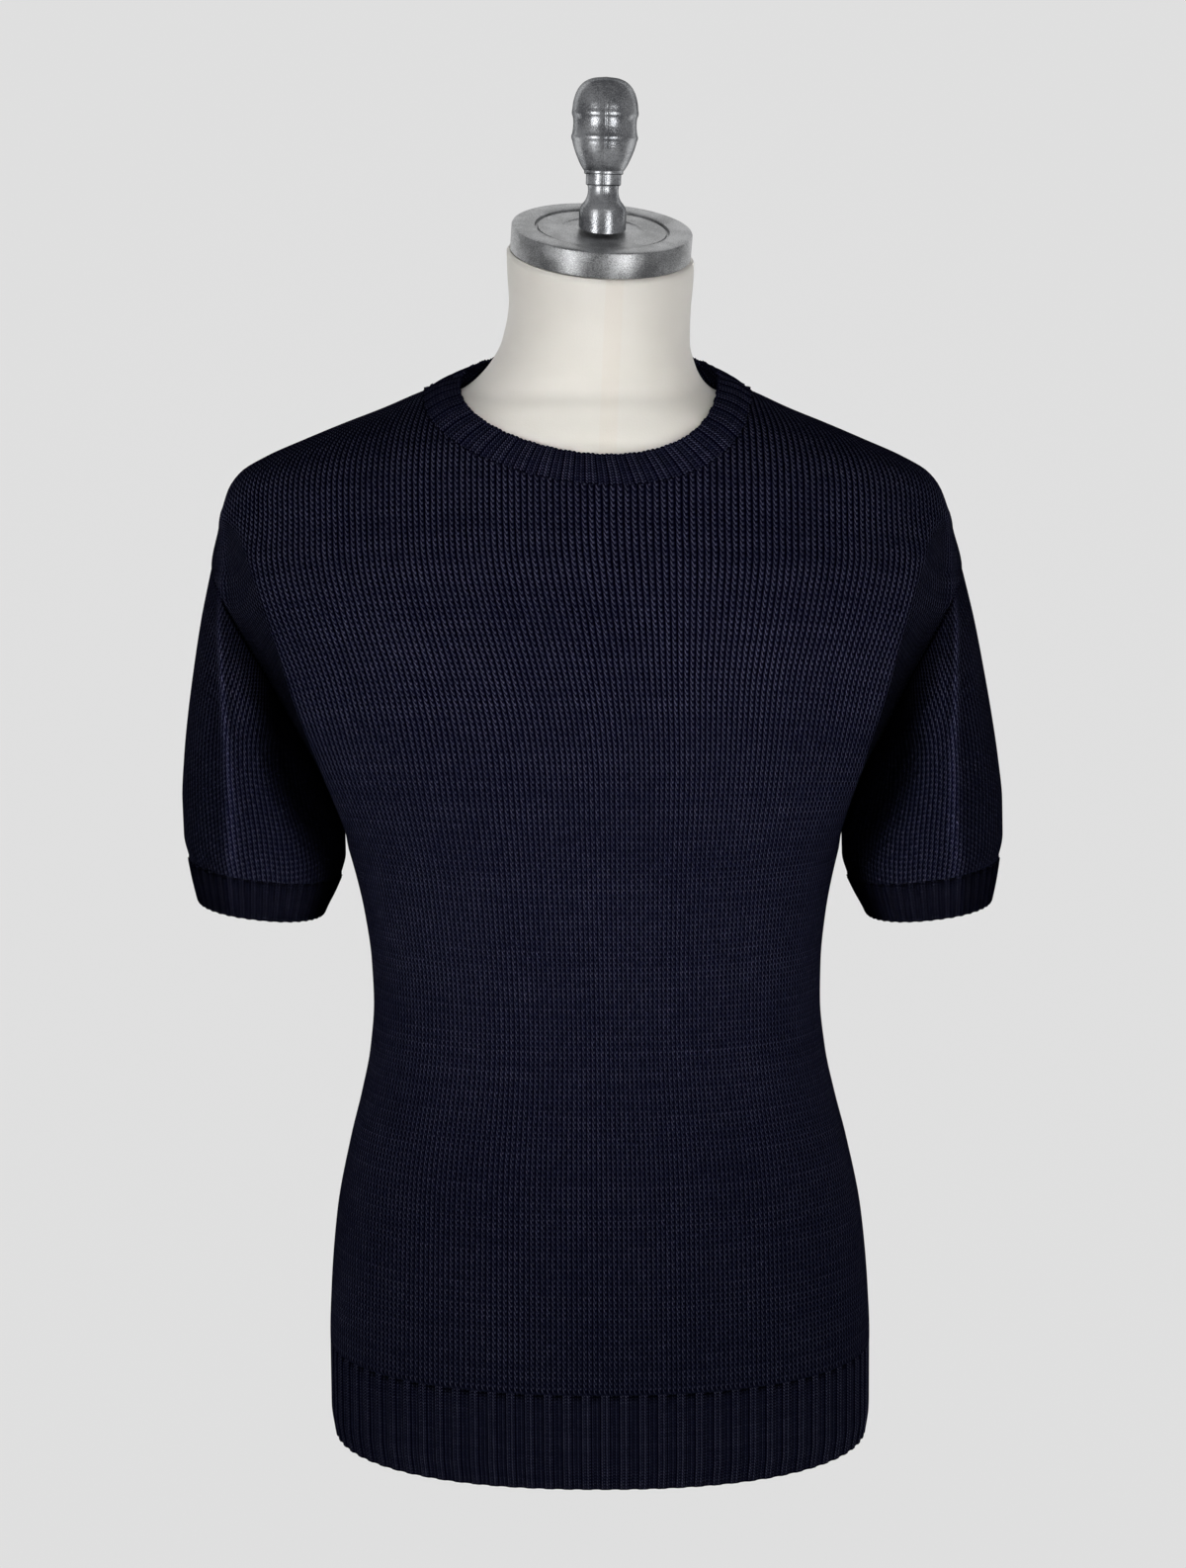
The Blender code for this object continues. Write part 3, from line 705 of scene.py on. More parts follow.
def panel_edge(facing, height):
    """Where a panel ends on each level: the armhole seam beside it, the side or shoulder elsewhere."""
    low, high = ARMHOLE_FOOT[1], ARMHOLE_TOP[1]
    up = np.clip((2 * height - low - high) / (high - low), -1.0, 1.0)
    x, y, _ = armhole_seam(facing, np.arccos(up))
    beside = (height > low) & (height < high)
    return np.where(beside, x, half_width_at(height)), np.where(beside, y, SEAM_Y)


def turned_in(facing, x, y, z):
    """The form's point, moved in to the chord from the chest's turn to the armhole seam."""
    fold_x = np.minimum(turn_across_at(z), half_width_at(z) - 0.5)
    _, fold_y = on_form(facing, angle_across(fold_x, z), z)
    edge_x, edge_y = panel_edge(facing, z)
    gone = (y - edge_y) / np.where(np.abs(fold_y - edge_y) < 1.0, facing, fold_y - edge_y)
    chord = edge_x + (fold_x - edge_x) * gone
    reach = np.abs(x)
    soft = -FOLD_ROUNDING * np.logaddexp(-reach / FOLD_ROUNDING, -chord / FOLD_ROUNDING)
    moved = (reach - soft) * window(z, *TURN_SPAN)
    return np.copysign(reach - moved, x), moved


# %% [markdown]
# ## Soft folds
# Cloth on a bust is never quite smooth. Low ridges, each with its own place, slant, length and depth,
# are laid on the panels: hardly any in front, and clearer ones in the small of the back.

# %% Soft folds
Fold = namedtuple("Fold", "facing x z lean length width depth")
FOLDS = table(
    Fold,
    (-1, -48, 560, 62, 95, 17, 1.3),
    (-1, 66, 530, 118, 80, 15, 1),
    (-1, -95, 300, 20, 60, 12, 1),
    (-1, 104, 268, 160, 52, 10, 0.9),
    (-1, 20, 190, 84, 90, 22, 0.8),
    (1, -52, 330, 12, 70, 12, 2.6),
    (1, 40, 296, 172, 84, 11, 3),
    (1, -20, 262, 4, 66, 10, 2),
    (1, 96, 520, 104, 90, 16, 2.2),
    (1, -104, 500, 74, 100, 18, 2),
)


def fold_lift(facing, x, z):
    """How far soft folds stand out of a panel, each a long low ridge at its own slant."""
    lift = 0 * x
    for fold in FOLDS:
        turn = math.radians(fold.lean)
        along = (x - fold.x) * math.cos(turn) + (z - fold.z) * math.sin(turn)
        across = (z - fold.z) * math.cos(turn) - (x - fold.x) * math.sin(turn)
        if fold.facing == facing:
            lift = lift + fold.depth * bell(along, fold.length) * bell(across, fold.width)
    return lift


# %% The panels
END_CROWDING = 0.4
WALE_LEAN = 5.5
SEAM_ROLL = 1.0
ROLL_WIDTH = 2.2
ROLL_ENDS = (556.0, 580.0)
NOT_ROLLED = (380.0, 395.0, 440.0, 460.0)
ARMPIT_WIDTH = 11.0
ARMPIT_SHADE = 0.85
ARMPIT_SPAN = (385.0, 410.0, 450.0, 535.0)
BEHIND_FOLD_SHADE = 0.65
CREASE_HIGHLIGHT = 0.55
SEAM_SHADE = 0.3
BODY_WALL = 2.0
PANEL_GRID = 190


def panel_levels(rows):
    """Heights of the panel's rows along its side: side seam, armhole, shoulder."""
    fine = np.linspace(HEM_TOP - 0.6, NECK_POINT, 900)
    edge = half_width_at(fine)
    travelled = np.concatenate([[0.0], np.hypot(np.diff(fine), np.diff(edge)).cumsum()])
    return np.interp(np.linspace(0, travelled[-1], rows), travelled, fine)


def recounted(wales, along, height, moved):
    """Wales counted by length where the cloth turns in, and as before elsewhere."""
    step = np.diff(wales, axis=1)
    by_length = np.copysign(np.diff(along, axis=1) / wale_width_at(height[:, 1:]), step)
    turned = np.maximum(moved[:, 1:], moved[:, :-1]) > 0.3
    total = np.where(turned, by_length, step).cumsum(axis=1)
    total = np.hstack([0 * total[:, :1], total])
    middle = wales.shape[1] // 2
    return total + (wales - total)[:, middle : middle + 1]


# %% The front and the back
def body_panel(name, facing):
    """The front (facing -1) or the back (facing 1) as one sheet of plain knit."""
    count = stitch_counter(facing)

    def shape(across, up):
        even = (2 * across - 1) * -facing
        share = (1 + END_CROWDING) * even - END_CROWDING * even**3
        level = panel_levels(len(up))[:, None] + 0 * share
        rise = np.clip((level - LEVEL_BELOW) / (NECK_POINT - LEVEL_BELOW), 0.0, 1.0)
        middle = NECK_FRONT if facing < 0 else NECK_BACK
        seam_x, seam_z = neck_seam(facing, share)
        height = level + (middle - NECK_POINT) * rise**2 * neck_sag(facing, share)
        angle = share * math.pi / 2 * (1 - rise**3) + angle_across(seam_x, seam_z) * rise**3
        _, edge_y = panel_edge(facing, height)
        end = np.clip(np.abs(edge_y - SEAM_Y) / depth_at[facing](height), 0, 1)
        end = np.arccos(end ** (SQUARENESS / 2))
        angle = angle - (math.pi / 2 - end) * share * np.abs(share)
        x, y = on_form(facing, angle, height)
        x, moved = turned_in(facing, x, y, height)
        inside = ramp(np.abs(y - edge_y), 0.0, 4.0)
        y = y + facing * inside * (ridge_lift(x, height) + fold_lift(facing, x, height))
        points = np.stack([x + lean_at(height), y, height], axis=2)
        wales, courses = count(angle, height)
        wales = wales + WALE_LEAN * (ramp(height, 455.0, 615.0) - 0.5) * bell(x + 25, 95)
        along = run_length(points, 1)
        wales = recounted(wales, along, height, moved)
        from_edge = np.minimum(along, along[:, -1:] - along)
        beside = bell(from_edge, ROLL_WIDTH) * (1 - ramp(height, *ROLL_ENDS))
        beside = beside * (1 - window(height, *NOT_ROLLED))
        points = points - normals_of(points, False) * (SEAM_ROLL * beside)[..., None]
        # Painted shade along the seams, in the armpit and on the cloth turned in behind the chest's fold;
        # a painted highlight on the crease.
        armpit = bell(from_edge, ARMPIT_WIDTH) * window(height, *ARMPIT_SPAN)
        behind = ramp(moved, 0.7, 3.0) * ramp(height, 388.0, 410.0)
        behind = behind * (1 - 0.6 * ramp(height, 500.0, 580.0))
        shade = (1 - SEAM_SHADE * beside) * (1 - ARMPIT_SHADE * armpit) * (1 - BEHIND_FOLD_SHADE * behind)
        shade = shade * (1 + CREASE_HIGHLIGHT * ridge_lift(x, height) / RIDGE_HIGH)
        return points, wales, courses, shade

    return laid_cloth(
        name, PANEL_GRID, PANEL_GRID, shape, PLAIN_KNIT, BODY_WALL,
    )


front = body_panel("front_cloth", -1)
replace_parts(front, "front")
back = body_panel("back_cloth", 1)
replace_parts(back, "back")

# %% [markdown]
# ## Hem rib
# Two-by-two rib is two wales that stand up and two that lie back, over and over, so the cloth itself is
# corrugated. Here the waves are real geometry, with the stitches drawn on top. A raised pair is a
# little wider than the furrow beside it, and where the rib begins the furrows start as small pits.

# %% Corrugation
RIB_WALL = 2.0
RAISED_SHARE = 0.53
HEM_REPEATS = 42
HEM_WAVE = 1.6
RIB_COURSE = 2.0
STEEPNESS = 2.6
DIP_DEPTH, DIP_WIDTH = 0.16, 0.05


def rib_wave(phase):
    """Height of the rib, 0 in the furrow to 1 on the raised pair, at a phase in repeats."""
    phase = phase % 1.0
    middle = RAISED_SHARE / 2
    wave = np.cos(2 * math.pi * (phase - middle)) - math.cos(math.pi * RAISED_SHARE)
    dip = DIP_DEPTH * bell(phase - middle, DIP_WIDTH)
    return 0.5 + 0.5 * np.tanh(STEEPNESS * wave) - dip


def rib_wales(phase):
    """Wales counted so that a raised pair and a furrow hold two each."""
    whole, part = np.floor(phase), phase % 1.0
    raised = 2 * part / RAISED_SHARE
    sunk = 2 + 2 * (part - RAISED_SHARE) / (1 - RAISED_SHARE)
    return 4 * whole + np.where(part < RAISED_SHARE, raised, sunk)


# %% The hem
EVEN_AT = 40.0
PIT_AT, PIT_LONG = 0.955, 0.03
PIT_DEPTH, PIT_SHADE = 0.9, 0.85


def hem_rib(name, facing):
    """Half of the hem, hung from the panel above it."""

    def shape(across, up):
        height = HEM_BOTTOM + (HEM_TOP - HEM_BOTTOM) * up
        fine = np.linspace(-math.pi / 2, math.pi / 2, 1500) * -facing
        x, y = on_form(facing, fine, EVEN_AT)
        travelled = np.concatenate([[0.0], np.hypot(np.diff(x), np.diff(y)).cumsum()])
        angle = np.interp(across[0] * travelled[-1], travelled, fine)[None, :].repeat(len(up), 0)
        x, y = on_form(facing, angle, height)
        points = np.stack([x + lean_at(height), y, height], axis=2)
        phase = across * HEM_REPEATS
        wave = rib_wave(phase)
        pit = bell(up - PIT_AT, PIT_LONG) * (1 - wave)
        ease = ramp(up, 0.0, 0.04) * 0.4 + 0.6
        out = HEM_WAVE * (wave - 1) * ease - PIT_DEPTH * pit
        points = points + normals_of(points, False) * out[..., None]
        return points, rib_wales(phase), height / RIB_COURSE, 1 - PIT_SHADE * pit

    return laid_cloth(
        name, HEM_REPEATS * 12, 24, shape, RIB_KNIT, RIB_WALL
    )


hem_front = hem_rib("hem_rib_front_cloth", -1)
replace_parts(hem_front, "hem_rib_front")
hem_back = hem_rib("hem_rib_back_cloth", 1)
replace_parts(hem_back, "hem_rib_back")

# %% [markdown]
# ## Sleeves and cuffs
# A sleeve is a tube of tilted rings, from the armhole seam down to the cuff. Its wales run down the
# arm, and it keeps a soft pressed ridge along its front.

# %% Sleeve rings
SleeveRing = namedtuple(
    "SleeveRing",
    "station outer_x outer_z inner_x inner_z front back scoop ridge ridge_at spread valley valley_at",
)
SLEEVE = table(
    SleeveRing,
    (0, 242.6, 574.4, 180.4, 451.7, 42, 46, 1, 4.5, 40, 6, 0, 100),
    (1, 249.7, 542.9, 177.5, 443.7, 58, 62, -3, 6, 65, 6, 3, 108),
    (2, 255, 513.8, 173.2, 433.7, 62, 68, -8, 6.5, 79, 6.5, 5, 117),
    (3, 259.9, 484.5, 169.2, 422.7, 62, 69, -9, 6.5, 83.5, 7, 6, 125),
    (4, 264, 455.2, 165.4, 411.7, 60, 67.5, -8, 5.5, 83, 8, 6, 131),
    (5, 266.7, 425.7, 162.2, 399.7, 58, 65, -6, 5, 81, 10, 5.5, 137),
    (6, 266.8, 403.7, 162.3, 387.6, 56.5, 62.5, -4, 4, 78, 12, 4.5, 143),
    (7, 263.7, 387.2, 166, 373.6, 55, 59, -2, 3, 75, 14, 3, 149),
)
CUFF = table(
    SleeveRing,
    (0, 263.6, 386.9, 166.3, 373.3, 54.8, 58.6, -2, 2.8, 75, 14, 3, 149),
    (1, 261.8, 375.5, 171, 363.4, 53.5, 56.5, -1, 1.5, 74, 18, 2, 150),
    (2, 259.9, 366, 175.6, 354.9, 52.5, 54.5, 0, 0.8, 73, 20, 1, 150),
    (3, 258.2, 358.7, 178.4, 348.9, 51, 53, 0, 0, 72, 20, 0, 150),
)
SLEEVE_SQUARENESS = 2.2
SLEEVE_WALES = 111
VALLEY_SPREAD = 11.0


# %% Points of a sleeve
def ring_point(rings, station, turn):
    """A point of the +X sleeve: turn 0 is outside, 90 the front, 180 the underarm, 270 the back."""
    row = row_at(rings, station)
    exponent = 2 / SLEEVE_SQUARENESS
    out = power(np.cos(np.radians(turn)), exponent)
    side = np.sin(np.radians(turn))
    reach = np.where(side >= 0, row.front, row.back)
    off = (turn - row.ridge_at + 180) % 360 - 180
    ridge = row.ridge * bell(off, row.spread)
    valley = row.valley * bell(turn - row.valley_at, VALLEY_SPREAD)
    x = (row.outer_x + row.inner_x) / 2 + out * (row.outer_x - row.inner_x) / 2
    z = (row.outer_z + row.inner_z) / 2 + out * (row.outer_z - row.inner_z) / 2
    y = SEAM_Y - reach * power(side, exponent) - ridge + valley
    return np.stack([x - row.scoop * side * side, y, z], axis=2)


def sleeve_light(rings, across, up):
    """How much light the sleeve's cloth keeps: a painted highlight on the crease, and painted shade on it
    all, more on the outer strip, in the valley and beyond it.
    """
    turn = (180 + 360 * across) % 360
    row = row_at(rings, up * (len(rings) - 1))
    crease = bell(turn - row.ridge_at, 3.2) * row.ridge / 6.5
    outside = ramp(row.ridge_at - turn, 2.0, 10.0) * ramp(turn, -10.0, 40.0)
    deep = bell(turn - row.valley_at, 16.0)
    beyond = ramp(turn - row.valley_at, -8.0, 8.0) * (1 - ramp(turn, 195.0, 230.0))
    return 0.9 * (1 + 1.1 * crease) * (1 - 0.35 * outside) * (1 - 0.75 * deep) * (1 - 0.88 * beyond)


def sleeve_form(rings, across, up, at_seam):
    """Points of the +X sleeve on a grid, the ring turning with across from the underarm."""
    turn = (180 + 360 * across) % 360
    station = up * (len(rings) - 1)
    points = ring_point(rings, station, turn)
    if at_seam:
        ahead = (turn <= 180)[..., None]
        angle = np.radians(np.where(turn <= 180, turn, 360 - turn))
        ahead_seam, behind_seam = (np.stack(armhole_seam(facing, angle), axis=2) for facing in (-1, 1))
        start = ring_point(rings, 0 * station, turn)
        fade = np.clip(1 - station, 0, 1)[..., None] ** 2
        points = points + fade * (np.where(ahead, ahead_seam, behind_seam) - start)
    return points


# %% The sleeves and cuffs
def on_side(side, points, *maps):
    """The +X sleeve's points and maps, carried to this side and leaned with the body."""
    points[..., 0] *= side
    points[..., 0] += lean_at(points[..., 2])
    return tuple(grid[:, ::side] for grid in (points, *maps))


def sleeve(name, side):
    """A tube of plain knit from the armhole to the cuff."""

    def shape(across, up):
        points = sleeve_form(SLEEVE, across, up, True)
        around, from_seam = run_length(points, 1), run_length(points, 0)
        shade = 1 - SEAM_SHADE * bell(from_seam, ROLL_WIDTH) * ramp(570 - points[..., 2], 0, 14)
        shade = shade * sleeve_light(SLEEVE, across, up)
        wales = SLEEVE_WALES * around / around[:, -1:]
        return on_side(side, points, wales, -from_seam / COURSE, shade)

    return laid_cloth(
        name, 150, 110, shape, PLAIN_KNIT, BODY_WALL, closed=True
    )


CUFF_REPEATS = 43
CUFF_WAVE = 1.4
CUFF_LIGHT = 0.56


def cuff(name, side):
    """A tube of rib, hung from the sleeve above it."""

    def shape(across, up):
        points = sleeve_form(CUFF, across, up, False)
        around = run_length(points, 1)
        phase = CUFF_REPEATS * around / around[:, -1:]
        wave = rib_wave(phase)
        ease = 1 - 0.4 * ramp(up, 0.94, 1.0)
        points = points + normals_of(points, True) * (CUFF_WAVE * (1 - wave) * ease)[..., None]
        # Painted shade: the whole cuff keeps less light, and its furrows are darker at the top where it
        # meets the sleeve.
        shade = 1 - 0.6 * bell(up, 0.06) * (1 - wave)
        shade = CUFF_LIGHT * shade * sleeve_light(CUFF, across, up)
        courses = -run_length(points, 0) / RIB_COURSE
        return on_side(side, points, rib_wales(phase), courses, shade)

    return laid_cloth(
        name, CUFF_REPEATS * 9, 16, shape, RIB_KNIT, RIB_WALL,
        closed=True,
    )


for side, word in ((1, "left"), (-1, "right")):
    tube = sleeve(f"sleeve_{word}_cloth", side)
    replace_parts(tube, f"sleeve_{word}")
    band = cuff(f"cuff_{word}_cloth", side)
    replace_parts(band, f"cuff_{word}")

# %% [markdown]
# ## Neckband
# A strip of the same rib, linked to the neck seam. It narrows towards its cast-off edge and leans in
# over the bust's neck.

# %% Neckband
BAND_HALF_WIDTH = 82.7
BAND_WIDTH = 22.5
BAND_FRONT_Z = 654.4
BAND_SIDE_Z = 698.2
BAND_BACK_Z = 713.7
BAND_SWELL = 1.6
BAND_PROUD = 0.7
BAND_TUCK = 0.04
BAND_REPEATS = 43
BAND_WAVE = 1.2
CAST_OFF = 2.9
CAST_OFF_HIGH = 0.7
BAND_LIGHT = 1.25


def band_lines(fine):
    """Outer and inner edge of the neckband, from 0 to 1 round the neck from the right neck point."""
    ahead = fine < 0.5
    share = np.where(ahead, 4 * fine - 1, 3 - 4 * fine)
    outer, inner = [], []
    for facing in (-1, 1):
        turn = share * math.pi / 2
        x, z = neck_seam(facing, share)
        _, y = on_form(facing, angle_across(x, z), z)
        middle = BAND_FRONT_Z if facing < 0 else BAND_BACK_Z
        edge_x = BAND_HALF_WIDTH * np.sin(turn)
        edge_z = BAND_SIDE_Z + (middle - BAND_SIDE_Z) * neck_sag(facing, share)
        left = np.maximum(BAND_WIDTH**2 - (edge_x - x) ** 2 - (edge_z - z) ** 2, 0.0)
        outer.append(np.stack([x, y, z], axis=-1))
        inner.append(np.stack([edge_x, y - facing * np.sqrt(left), edge_z], axis=-1))
    choose = ahead[..., None]
    return np.where(choose, outer[0], outer[1]), np.where(choose, inner[0], inner[1])


def band_points(place, up):
    """The neckband's face, with rib repeats evenly spaced round it."""
    fine = np.linspace(0, 1, 2001)
    middle = sum(band_lines(fine)) / 2
    gone = np.concatenate([[0.0], np.linalg.norm(np.diff(middle, axis=0), axis=1).cumsum()])
    outer, inner = band_lines(np.interp((place % 1.0) * gone[-1], gone, fine))
    return outer + (inner - outer) * up[..., None]


def neckband():
    """The neck's rib, swollen a little, with a row of beads where it is cast off."""

    def shape(across, up):
        points = band_points(across, (1 + BAND_TUCK) * up - BAND_TUCK)
        phase = across * BAND_REPEATS
        wave = rib_wave(phase)
        swell = BAND_PROUD + BAND_SWELL * np.sin(math.pi * up)
        ease = 1 - 0.5 * ramp(up, 0.93, 1.0)
        out = swell + BAND_WAVE * (wave - 1) * ease
        points = points + normals_of(points, True) * out[..., None]
        courses = run_length(points, 0) / RIB_COURSE
        points[..., 0] += lean_at(points[..., 2])
        bead = np.abs(np.sin(math.pi * run_length(points, 1) / CAST_OFF)) * ramp(up, 0.95, 1.0)
        points[..., 2] += CAST_OFF_HIGH * bead
        # Painted light: the whole band keeps more light than the other rib, and its edge at the neck seam
        # is darker.
        shade = BAND_LIGHT * (1 - 0.6 * bell(up, 0.05))
        return points, rib_wales(phase), courses, shade

    return laid_cloth(
        "neckband_cloth", BAND_REPEATS * 24, 20, shape, RIB_KNIT, RIB_WALL,
        closed=True,
    )


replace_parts(neckband(), "neckband")

# %% [markdown]
# ## The bust
# A padded form under a stretch cover, cream coloured. Its neck leans forward and a little to its left,
# and a narrow tape under the cover shows down the front of the neck. It is a stack of rings too, which
# go from a superellipse to a circle at the neck. The cover's knit is too fine to model, so it is a bump.

# %% Bust
ROUND_ABOVE = 728.0
CAP_TILT = 15.0
CAP_ROLL = 4.0
Ring = namedtuple("Ring", "height half_width front back middle tilt", defaults=(10.0, 0.0))
BUST = table(
    Ring,
    (0, 152.1, 112, 90), (29.9, 164, 122, 100),
    (67.7, 170.7, 128, 106), (99, 170.3, 127, 108),
    (149.9, 166.8, 122, 106), (200.5, 157.8, 115, 97),
    (230.3, 151, 111.5, 90.5), (259.9, 145.5, 110, 86),
    (293.6, 142.6, 110.2, 84.2), (320, 143.4, 112.2, 86.2),
    (349.3, 146.3, 116, 91), (390.6, 153.4, 123, 100),
    (451.7, 165.7, 128, 110), (493.5, 177, 127.5, 113),
    (533, 194.2, 124.5, 112), (574.4, 213.3, 118, 108),
    (600.5, 224.7, 111, 102), (617.1, 225.4, 103.5, 96.5),
    (627.2, 220.9, 98.8, 92.8), (637.5, 209, 94.3, 88.5),
    (647.7, 191.4, 87, 84), (657.8, 168.9, 79.5, 79),
    (667.9, 144.4, 75, 74), (678.1, 115.7, 70, 68, 9.5, 1),
    (684.6, 94.7, 67, 65, 9, 1.5), (690.9, 79.6, 62.6, 60.7, 8, 2),
    (698.1, 71.4, 59.7, 58.2, 6.5, 3), (707.8, 65, 58.2, 56.3, 4.5, 4.5),
    (720.3, 60, 58.2, 56.7, 2, 7), (743.4, 57.8, 58.1, 58.1, -1.5, 11),
    (763.5, 59, 59, 59, -6.5, 14), (775.1, 59.3, 59.3, 59.3, -9.5, 15),
    (776.8, 57.6, 57.6, 57.6, -10, 15),
)


def bust_point(height, turn):
    """A point of the bust in mm: turn 0 is the front, growing towards the wearer's left."""
    row = row_at(BUST, height)
    tilt = np.radians(row.tilt)
    roll = math.radians(CAP_ROLL) * (row.tilt / CAP_TILT) ** 2
    round_off = 2 / SQUARENESS + (1 - 2 / SQUARENESS) * ramp(height, ROUND_ABOVE - 30, ROUND_ABOVE)
    x = row.half_width * power(np.sin(turn), round_off)
    forward = -np.where(np.cos(turn) > 0, row.front, row.back) * power(np.cos(turn), round_off)
    y = row.middle + forward * np.cos(tilt)
    z = height + forward * np.sin(tilt) - x * np.tan(roll)
    return np.stack([x + lean_at(height), y, z], axis=-1)


# %% The bust's cover
TAPE_SLOPE = 0.042
TAPE_X = 0.005 - 0.65 * TAPE_SLOPE
TAPE_EDGE = 5.2 * MM
TAPE_BLUR = 0.8 * MM
TAPE_TINT = (0.992, 0.972, 0.955, 1.0)
COLOUR_A, COLOUR_B, MIXED_COLOUR = 6, 7, 2


def bust_cover_material():
    """Cream cotton jersey drawn tight: dull, warm, with a fine even knit and faint shading."""
    material, add = new_material("cream stretch jersey")
    where = add("TexCoord").outputs["Object"]
    knit = add("TexNoise", where, sockets={"Scale": 900.0, "Detail": 2.0})
    mottle = add("TexNoise", where, sockets={"Scale": 14.0, "Detail": 3.0})
    tone = add("ValToRGB", mottle, stops=((0.3, "#c8c5bd"), (0.7, "#d0cdc6")))
    bump = add("Bump", sockets={"Height": knit, "Strength": 0.25, "Distance": 0.3 * MM})
    place = add("SeparateXYZ", where)
    line = add("Math MULTIPLY_ADD", place.outputs["Z"], -TAPE_SLOPE, -TAPE_X)
    aside = add("Math ABSOLUTE", add("Math ADD", place.outputs["X"], line))
    ahead = add("Math LESS_THAN", place.outputs["Y"], 0.0)
    on_tape = add("MapRange", aside, TAPE_EDGE, TAPE_EDGE + TAPE_BLUR, 1.0, 0.0)
    on_tape = add("Math MULTIPLY", on_tape, ahead)
    warm = add("Mix", on_tape, data_type="RGBA", blend_type="MULTIPLY",
               sockets={COLOUR_A: tone, COLOUR_B: TAPE_TINT})
    surface(add, {
        "Base Color": warm.outputs[MIXED_COLOUR], "Normal": bump, "Roughness": 0.85,
        "Specular IOR Level": 0.05, "Sheen Weight": 0.25, "Sheen Roughness": 0.5,
    })
    return material


def bust():
    """The padded form, whole, with a flat base and a flat top under the cap."""
    heights = np.concatenate([np.linspace(0, 660, 60), np.linspace(660, BUST[-1].height, 62)[1:]])
    mesh, across, _ = grid_of("bust_cover", 120, len(heights) - 1)
    points = bust_point(heights[:, None] + 0 * across, 2 * math.pi * across)
    mesh.vertices.foreach_set("co", (points * MM).ravel())
    bm = bmesh.new()
    bm.from_mesh(mesh)
    bmesh.ops.remove_doubles(bm, verts=bm.verts, dist=MERGE)
    rims = [edge for edge in bm.edges if edge.is_boundary]
    bmesh.ops.holes_fill(bm, edges=rims, sides=0)
    bmesh.ops.recalc_face_normals(bm, faces=bm.faces)
    bm.to_mesh(mesh)
    bm.free()
    piece = finished("bust_cover", mesh, bust_cover_material())
    mesh.set_sharp_from_angle(angle=math.radians(50))
    return piece


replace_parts(bust(), "bust_form")

# %% [markdown]
# ## Neck cap and handle
# Both are cast in a light grey alloy and left satin. The cap was turned on a lathe, so it is spun from a
# profile, and so is the handle, which was cast in two halves and keeps a fine mould line. Each profile
# is a list of radii and heights, with the cap's upper face at height 0.

# %% Profiles and placing
CAP = table(
    Turned,
    (0, -1.5), (24.4, -1.5), (25.4, -1.4), (26, -1), (26.6, -0.9), (40.6, -0.9),
    (41, -2.2), (42.4, -2.2), (42.8, -0.3), (43.4, 0), (56, 0), (56.9, -0.35),
    (57.3, -1.2), (57.3, -15.9), (56.8, -16.4), (55.9, -16.6), (0, -16.6),
)
HANDLE = table(
    Turned,
    (0, 93.7), (7, 93), (12.5, 91), (16.9, 86.8), (19.2, 81.9), (20.4, 76.9),
    (20.8, 73), (21.05, 71.4), (20.9, 70), (20.4, 68.8), (20, 66.6), (19.9, 64),
    (20.2, 60.4), (20.6, 57.9), (21.05, 56.6), (20.9, 55.2), (20.4, 53.9), (19.9, 51.9),
    (18.7, 48), (17, 43.7), (14.8, 39), (12.8, 35.8), (12.3, 35.2), (12.3, 33.6),
    (11.1, 33), (11.1, 26.9), (10, 26.2), (9.6, 23.4), (9.8, 21), (11.2, 17),
    (13.4, 14.2), (14.6, 11.6), (14.9, 9), (14.9, -8), (0, -8),
)


# %% The metals
HANDLE_LEAN = 1.5
MOULD_SLOPE = math.tan(math.radians(HANDLE_LEAN))
MOULD_X = 0.0042 - 0.85 * MOULD_SLOPE
MOULD_FROM = 0.808
MOULD_EDGE = 0.2 * MM
MOULD_BLUR = 0.6 * MM
MOULD_HIGH = 2.6
SPECKLE = 1.1
SMEARED = 0.13


def metal_material(name, dark, pale, satin, edge):
    """Sand-cast aluminium, tumbled: grey, satin, with a pitted grain that breaks its highlights up."""
    material, add = new_material(name)
    where = add("TexCoord").outputs["Object"]
    grain = add("TexNoise", where, sockets={"Scale": 1500.0, "Detail": 2.0})
    pits = add("TexVoronoi", where, sockets={"Scale": 800.0})
    smear = add("TexNoise", where, sockets={"Scale": 60.0, "Detail": 4.0})
    place = add("SeparateXYZ", where)
    rise = add("Math MULTIPLY_ADD", place.outputs["Z"], MOULD_SLOPE, MOULD_X)
    aside = add("Math ABSOLUTE", add("Math SUBTRACT", place.outputs["X"], rise))
    seam = add("MapRange", aside, MOULD_EDGE, MOULD_EDGE + MOULD_BLUR, 1.0, 0.0,
               interpolation_type="SMOOTHSTEP")
    seam = add("Math MULTIPLY", seam, add("Math GREATER_THAN", place.outputs["Z"], MOULD_FROM))
    relief = add("Math MULTIPLY_ADD", pits.outputs["Distance"], 0.5, grain.outputs["Fac"])
    relief = add("Math MULTIPLY_ADD", seam, MOULD_HIGH, relief)
    bump = add("Bump", sockets={"Height": relief, "Strength": 0.4, "Distance": 0.13 * MM})
    speckle = add("Math MULTIPLY_ADD", grain.outputs["Fac"], SPECKLE, -SPECKLE / 2)
    speckle = add("Math ADD", speckle, smear.outputs["Fac"])
    tone = add("ValToRGB", speckle, stops=((0.35, dark), (0.68, pale)))
    rough = add("MapRange", smear, 0.3, 0.7, satin, satin + SMEARED)
    surface(add, {
        "Base Color": tone, "Roughness": rough, "Normal": bump, "Metallic": 1.0,
        "Specular Tint": (edge, edge, edge, 1.0),
    })
    return material


# %% The neck cap
CAP_METAL = metal_material("cast aluminium, brushed", "#929394", "#d8d9da", 0.29, 0.95)
METAL_GAP = 0.35


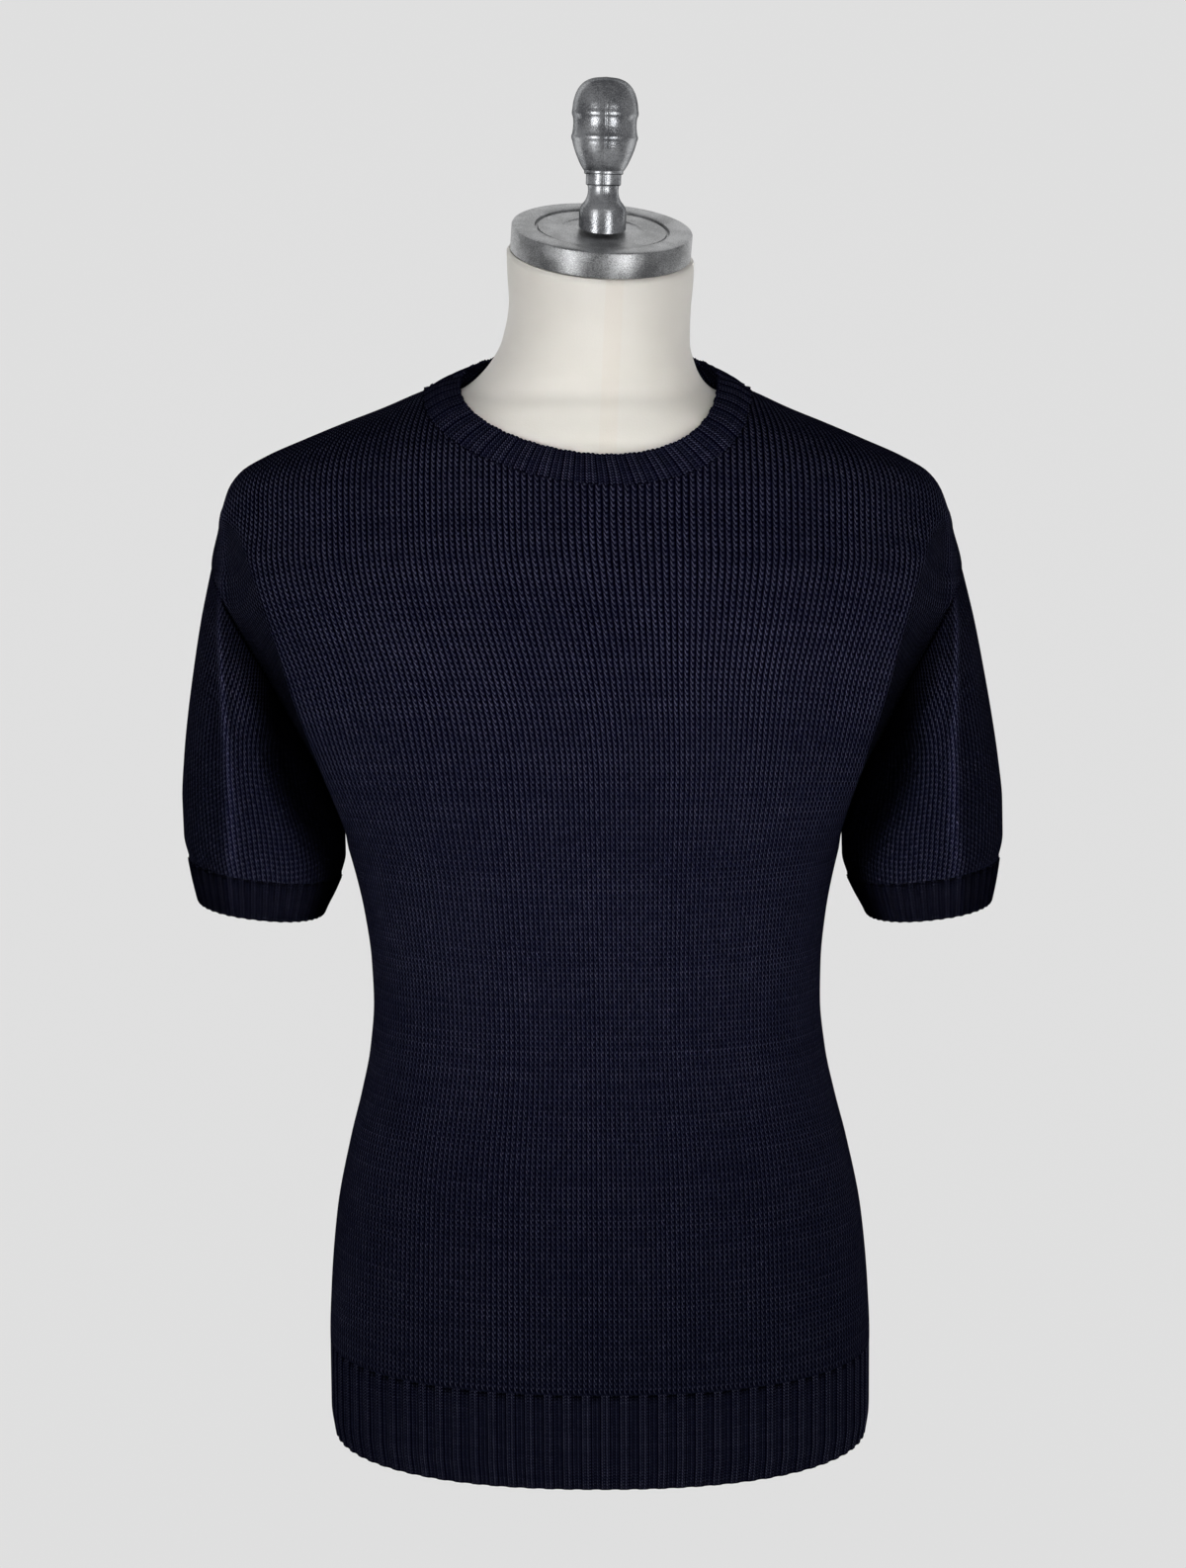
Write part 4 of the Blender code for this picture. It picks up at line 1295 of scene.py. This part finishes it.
def above_neck(rise):
    """A point in mm this far above the centre of the neck's top, square to it."""
    top = BUST[-1]
    tilt, roll = math.radians(CAP_TILT), math.radians(CAP_ROLL)
    return Vector((
        float(lean_at(top.height)) + rise * math.cos(tilt) * math.sin(roll),
        top.middle - rise * math.sin(tilt),
        top.height + rise * math.cos(tilt) * math.cos(roll),
    ))


def cast(name, mesh, metal, sharp, node):
    """A finished casting in place of its simple solid; sharp is the angle of its crisp edges."""
    piece = finished(name, mesh, metal)
    mesh.set_sharp_from_angle(angle=math.radians(sharp))
    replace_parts(piece, node)


cap_centre = above_neck(METAL_GAP - CAP[-1].height)
cap_turn = (math.radians(CAP_TILT), math.radians(CAP_ROLL), 0.0)
cast("neck_cap_metal", spun("neck_cap_metal", CAP, 128, cap_turn, cap_centre), CAP_METAL, 32, "neck_cap")

# %% [markdown]
# ## The handle
# Its rings are soft, as cast, so the profile is drawn again with many points before it is spun. It
# stands nearly upright on a cap that slopes, so its foot is cut parallel to the cap, just above the
# recess, and a short stud goes down into it.

# %% The handle
HANDLE_METAL = metal_material("cast aluminium, polished by hands", "#96989c", "#e6e8ea", 0.21, 0.2)
FOOT_GAP = 1.8
STUD_INSET = 11.0
Spot = namedtuple("Spot", "gone radius height")


def smooth_profile(rows, steps):
    """The profile with extra points between its rows."""
    place = [0.0]
    for a, b in zip(rows, rows[1:]):
        place.append(place[-1] + max(math.hypot(a.radius - b.radius, a.height - b.height), 0.1))
    spots = [Spot(gone, row.radius, row.height) for gone, row in zip(place, rows)]
    fine = np.linspace(0, place[-1], steps)
    radius, height = curve_through(spots, "radius")(fine), curve_through(spots, "height")(fine)
    return [Turned(float(r), float(h)) for r, h in zip(radius, height)]


grip = smooth_profile(HANDLE[:-2], 150) + HANDLE[-2:]
handle_mesh = spun("cap_handle_metal", grip, 96, (0.0, math.radians(HANDLE_LEAN), 0.0), cap_centre)
bm = bmesh.new()
bm.from_mesh(handle_mesh)
recess = above_neck(METAL_GAP - CAP[-1].height + CAP[0].height + FOOT_GAP)
normal = (above_neck(1.0) - above_neck(0.0)).normalized()
bmesh.ops.bisect_plane(
    bm, geom=bm.verts[:] + bm.edges[:] + bm.faces[:], plane_co=recess * MM, plane_no=normal,
    clear_inner=True,
)
sole = bmesh.ops.holes_fill(bm, edges=[e for e in bm.edges if e.is_boundary], sides=0)["faces"]
bmesh.ops.inset_region(bm, faces=sole, thickness=STUD_INSET * MM)
stud = bmesh.ops.extrude_face_region(bm, geom=sole)["geom"]
stud_end = [v for v in stud if isinstance(v, bmesh.types.BMVert)]
bmesh.ops.translate(bm, verts=stud_end, vec=-normal * (FOOT_GAP - METAL_GAP) * MM)
bmesh.ops.delete(bm, geom=sole, context="FACES_ONLY")
bmesh.ops.recalc_face_normals(bm, faces=bm.faces)
bm.to_mesh(handle_mesh)
bm.free()
cast("cap_handle_metal", handle_mesh, HANDLE_METAL, 40, "cap_handle")
